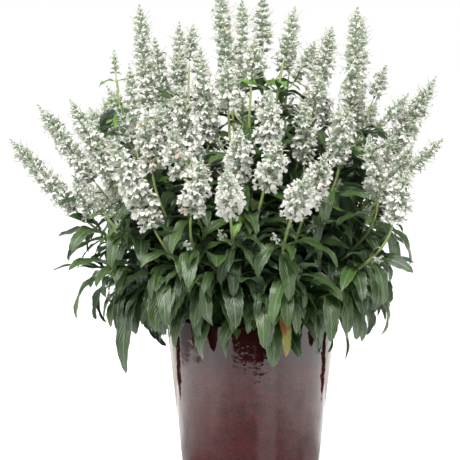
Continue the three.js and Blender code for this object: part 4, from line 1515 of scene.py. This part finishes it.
def style_template():
    """A thread that curves upward. Its place is 1 across, which its finish reads as a thread's colour."""
    thread = Template(turned([(0, 0), (0.15, 0.036), (0.85, 0.036), (1, 0)], 3))
    thread.places[:, 1] = 1
    thread.points[:, 2] += 0.3 * thread.points[:, 0] ** 2
    return thread


templates = {"calyces": calyx_template(), "buds": bud_template(), "corollas": corolla_template(),
             "styles": style_template()}
calyx, bud, corolla, style = templates.values()
axis_tube = Template(blade(8, 6))
print("floret faces:", {name: len(template.sides) for name, template in templates.items()})

# %% Whorls
WHORL = SimpleNamespace(first=2.0, last=1.2, widest=8.4, closest=4.0, closing=45, most=12, fewest=7,
                        thinning=30)
STRAY = SimpleNamespace(turn=0.16, along=1.1, lowest=0.005, highest=0.985)  # from the whorl's own places
ASKEW = (0.31, 0.95, 0.07)  # a direction that no spike runs along
CONE = SimpleNamespace(length=2.0, roundness=0.7, foot=0.82, taper=0.18, least=1.8)
OPEN_BY_REACH = ([5, 12, 15, 17.5], [0.5, 0.35, 0.6, 0.9])
OPEN_BY_HEIGHT = ([500, 590], [1.0, 0.45])
OPEN_BY_PLACE = ([0.12, 0.35, 0.6], [0, 0.5, 1])  # share of the spike's length from its tip
RISE = ([0, 8, 40], [2.4, 0.9, 0.4])  # mm from the tip, and how steeply a floret rises
CALYX = SimpleNamespace(share=0.64, least=2.2, most=8.8, rise_spread=0.26, tone_spread=0.22, mouth=0.6,
                        shut=16)
SEAT = SimpleNamespace(share=0.12, least=0.5, most=2.2)  # how far off the axis a calyx starts
COROLLA = SimpleNamespace(share=1.16, least=4.5, along=0.8, out=0.5, astray=0.32)
STYLE = SimpleNamespace(chance=0.6, from_tip=12, longest=12.5, shares=(1.0, 1.8))
PETAL_BUD = SimpleNamespace(chance=0.6, from_tip=8, size=0.6, brightest=0.9)
UNEVEN = (0.8, 1.2)  # the smallest and the largest of like parts
AXIS = SimpleNamespace(radius=1.35, short=1, sunk=2, tone=0.1)
SPIKE_SEED = 300


def across_axis(spike):
    sideways = unit(np.cross(spike.axis, ASKEW))
    return sideways, np.cross(spike.axis, sideways)


def reach_at(spike, t):
    """The florets' reach along a spike, full for most of its length, then a short blunt cone of buds."""
    to_tip = (1 - t) * spike.length
    cone = np.clip(to_tip / (CONE.length * spike.reach), 0, 1) ** CONE.roundness
    return np.maximum(CONE.least, spike.reach * np.minimum(1, CONE.foot + t) * (1 - CONE.taper * t) * cone)


def openness(spike):
    """How many florets are open low down: most on the full front spikes, few on slim or tall ones."""
    return float(np.interp(spike.reach, *OPEN_BY_REACH) * np.interp(spike.tip[2], *OPEN_BY_HEIGHT))


def florets(spike, rng):
    """Where each floret stands: place along the spike, and the way it points."""
    runs, s = [], WHORL.first
    while s < spike.length - WHORL.last:
        runs.append(s)
        near_tip = max(0.0, 1 - (spike.length - s) / WHORL.closing)
        s += WHORL.widest + (WHORL.closest - WHORL.widest) * near_tip
    sideways, over = across_axis(spike)
    places, ways = [], []
    for k, s in enumerate(runs):
        thinned = max(0.0, 1 - (spike.length - s) / WHORL.thinning)
        count = round(WHORL.most + (WHORL.fewest - WHORL.most) * thinned)
        angles = TURN * (np.arange(count) / count + 0.5 * (k % 2) / count) + rng.normal(0, STRAY.turn, count)
        ways.append(np.outer(np.cos(angles), sideways) + np.outer(np.sin(angles), over))
        t = s / spike.length + rng.normal(0, STRAY.along / spike.length, count)
        places.append(np.clip(t, STRAY.lowest, STRAY.highest))
    return np.concatenate(places), np.concatenate(ways)


def add_spike(spike, number, felt, white):
    rng = np.random.default_rng(SPIKE_SEED + number)
    t, out = florets(spike, rng)
    count = len(t)
    reach = reach_at(spike, t)
    to_tip = (1 - t) * spike.length
    centre = spike.foot + np.outer(t * spike.length, spike.axis)
    rise = np.interp(to_tip, *RISE) + rng.normal(0, CALYX.rise_spread, count)
    way = out + rise[:, None] * spike.axis
    way /= np.linalg.norm(way, axis=1, keepdims=True)
    size = np.clip(reach * CALYX.share, CALYX.least, CALYX.most) * rng.uniform(*UNEVEN, count)
    origin = centre + out * np.clip(reach * SEAT.share, SEAT.least, SEAT.most)[:, None]
    tone = np.clip(rng.normal(0.5, CALYX.tone_spread, count), 0, 1)
    up = np.tile(spike.axis, (count, 1))
    shut = to_tip < CALYX.shut
    felt.add(calyx, placed(calyx, origin[~shut], way[~shut], up[~shut], size[~shut]), tone[~shut])
    felt.add(bud, placed(bud, origin[shut], way[shut], up[shut], size[shut]), tone[shut])

    opened = rng.random(count) < openness(spike) * np.interp(to_tip / spike.length, *OPEN_BY_PLACE)
    mouth = origin + way * size[:, None] * CALYX.mouth
    room = np.maximum(COROLLA.least, reach * COROLLA.share - CALYX.mouth * size)
    room = room * rng.uniform(*UNEVEN, count)
    face = way * COROLLA.along + out * COROLLA.out + COROLLA.astray * rng.normal(0, 1, (count, 3))
    if opened.any():
        scale = room[opened] / COROLLA_LENGTH
        copies = placed(corolla, mouth[opened], face[opened], up[opened], scale)
        white.add(corolla, copies, rng.random(opened.sum()))
    styled = ~opened & (to_tip > STYLE.from_tip) & (rng.random(count) < STYLE.chance)
    if styled.any():
        long = np.minimum(STYLE.longest, room[styled] * rng.uniform(*STYLE.shares, styled.sum()))
        copies = placed(style, mouth[styled], face[styled], up[styled], long)
        white.add(style, copies, rng.random(styled.sum()))
    budding = ~opened & ~styled & (to_tip > PETAL_BUD.from_tip) & (rng.random(count) < PETAL_BUD.chance)
    if budding.any():
        copies = placed(bud, mouth[budding], way[budding], up[budding], size[budding] * PETAL_BUD.size)
        white.add(bud, copies, rng.random(budding.sum()) * PETAL_BUD.brightest)


def axis_points(spike):
    t, y, z = axis_tube.points.T
    sideways, over = across_axis(spike)
    around = np.outer(y, sideways) + np.outer(z, over)
    run = t * (spike.length - AXIS.short) - AXIS.sunk * (1 - t)
    return spike.foot + np.outer(run, spike.axis) + around * AXIS.radius


# %% Spikes of each crown
for crown in crowns:
    felt, white = Pile(), Pile()
    carried = [(stem.number, stem.spike) for stem in of_crown(crown, stems) if stem.spike]
    carried += [(shoot.number, shoot.spike) for shoot in of_crown(crown, side_shoots)]
    if not carried:
        continue
    for number, spike in carried:
        add_spike(spike, number, felt, white)
        felt.add(axis_tube, axis_points(spike)[None], np.array([AXIS.tone]))
    nodes = [spike.name for _, spike in carried if spike.name]
    label = f"{crown.number + 1:02d}"
    felt.piece(f"calyces_{label}", calyx_felt, "calyx", *nodes)
    white.piece(f"corollas_{label}", petal_white, "petal")

for name, template in templates.items():
    print(name, tally.get(id(template), 0), "copies of", len(template.sides), "faces")
kinds = {}
for name, count in triangles.items():
    kind = name.rstrip("0123456789_")
    kinds[kind] = kinds.get(kind, 0) + count
print("triangles:", kinds, "in all", sum(kinds.values()))
print("largest piece:", max(triangles.items(), key=lambda item: item[1]))
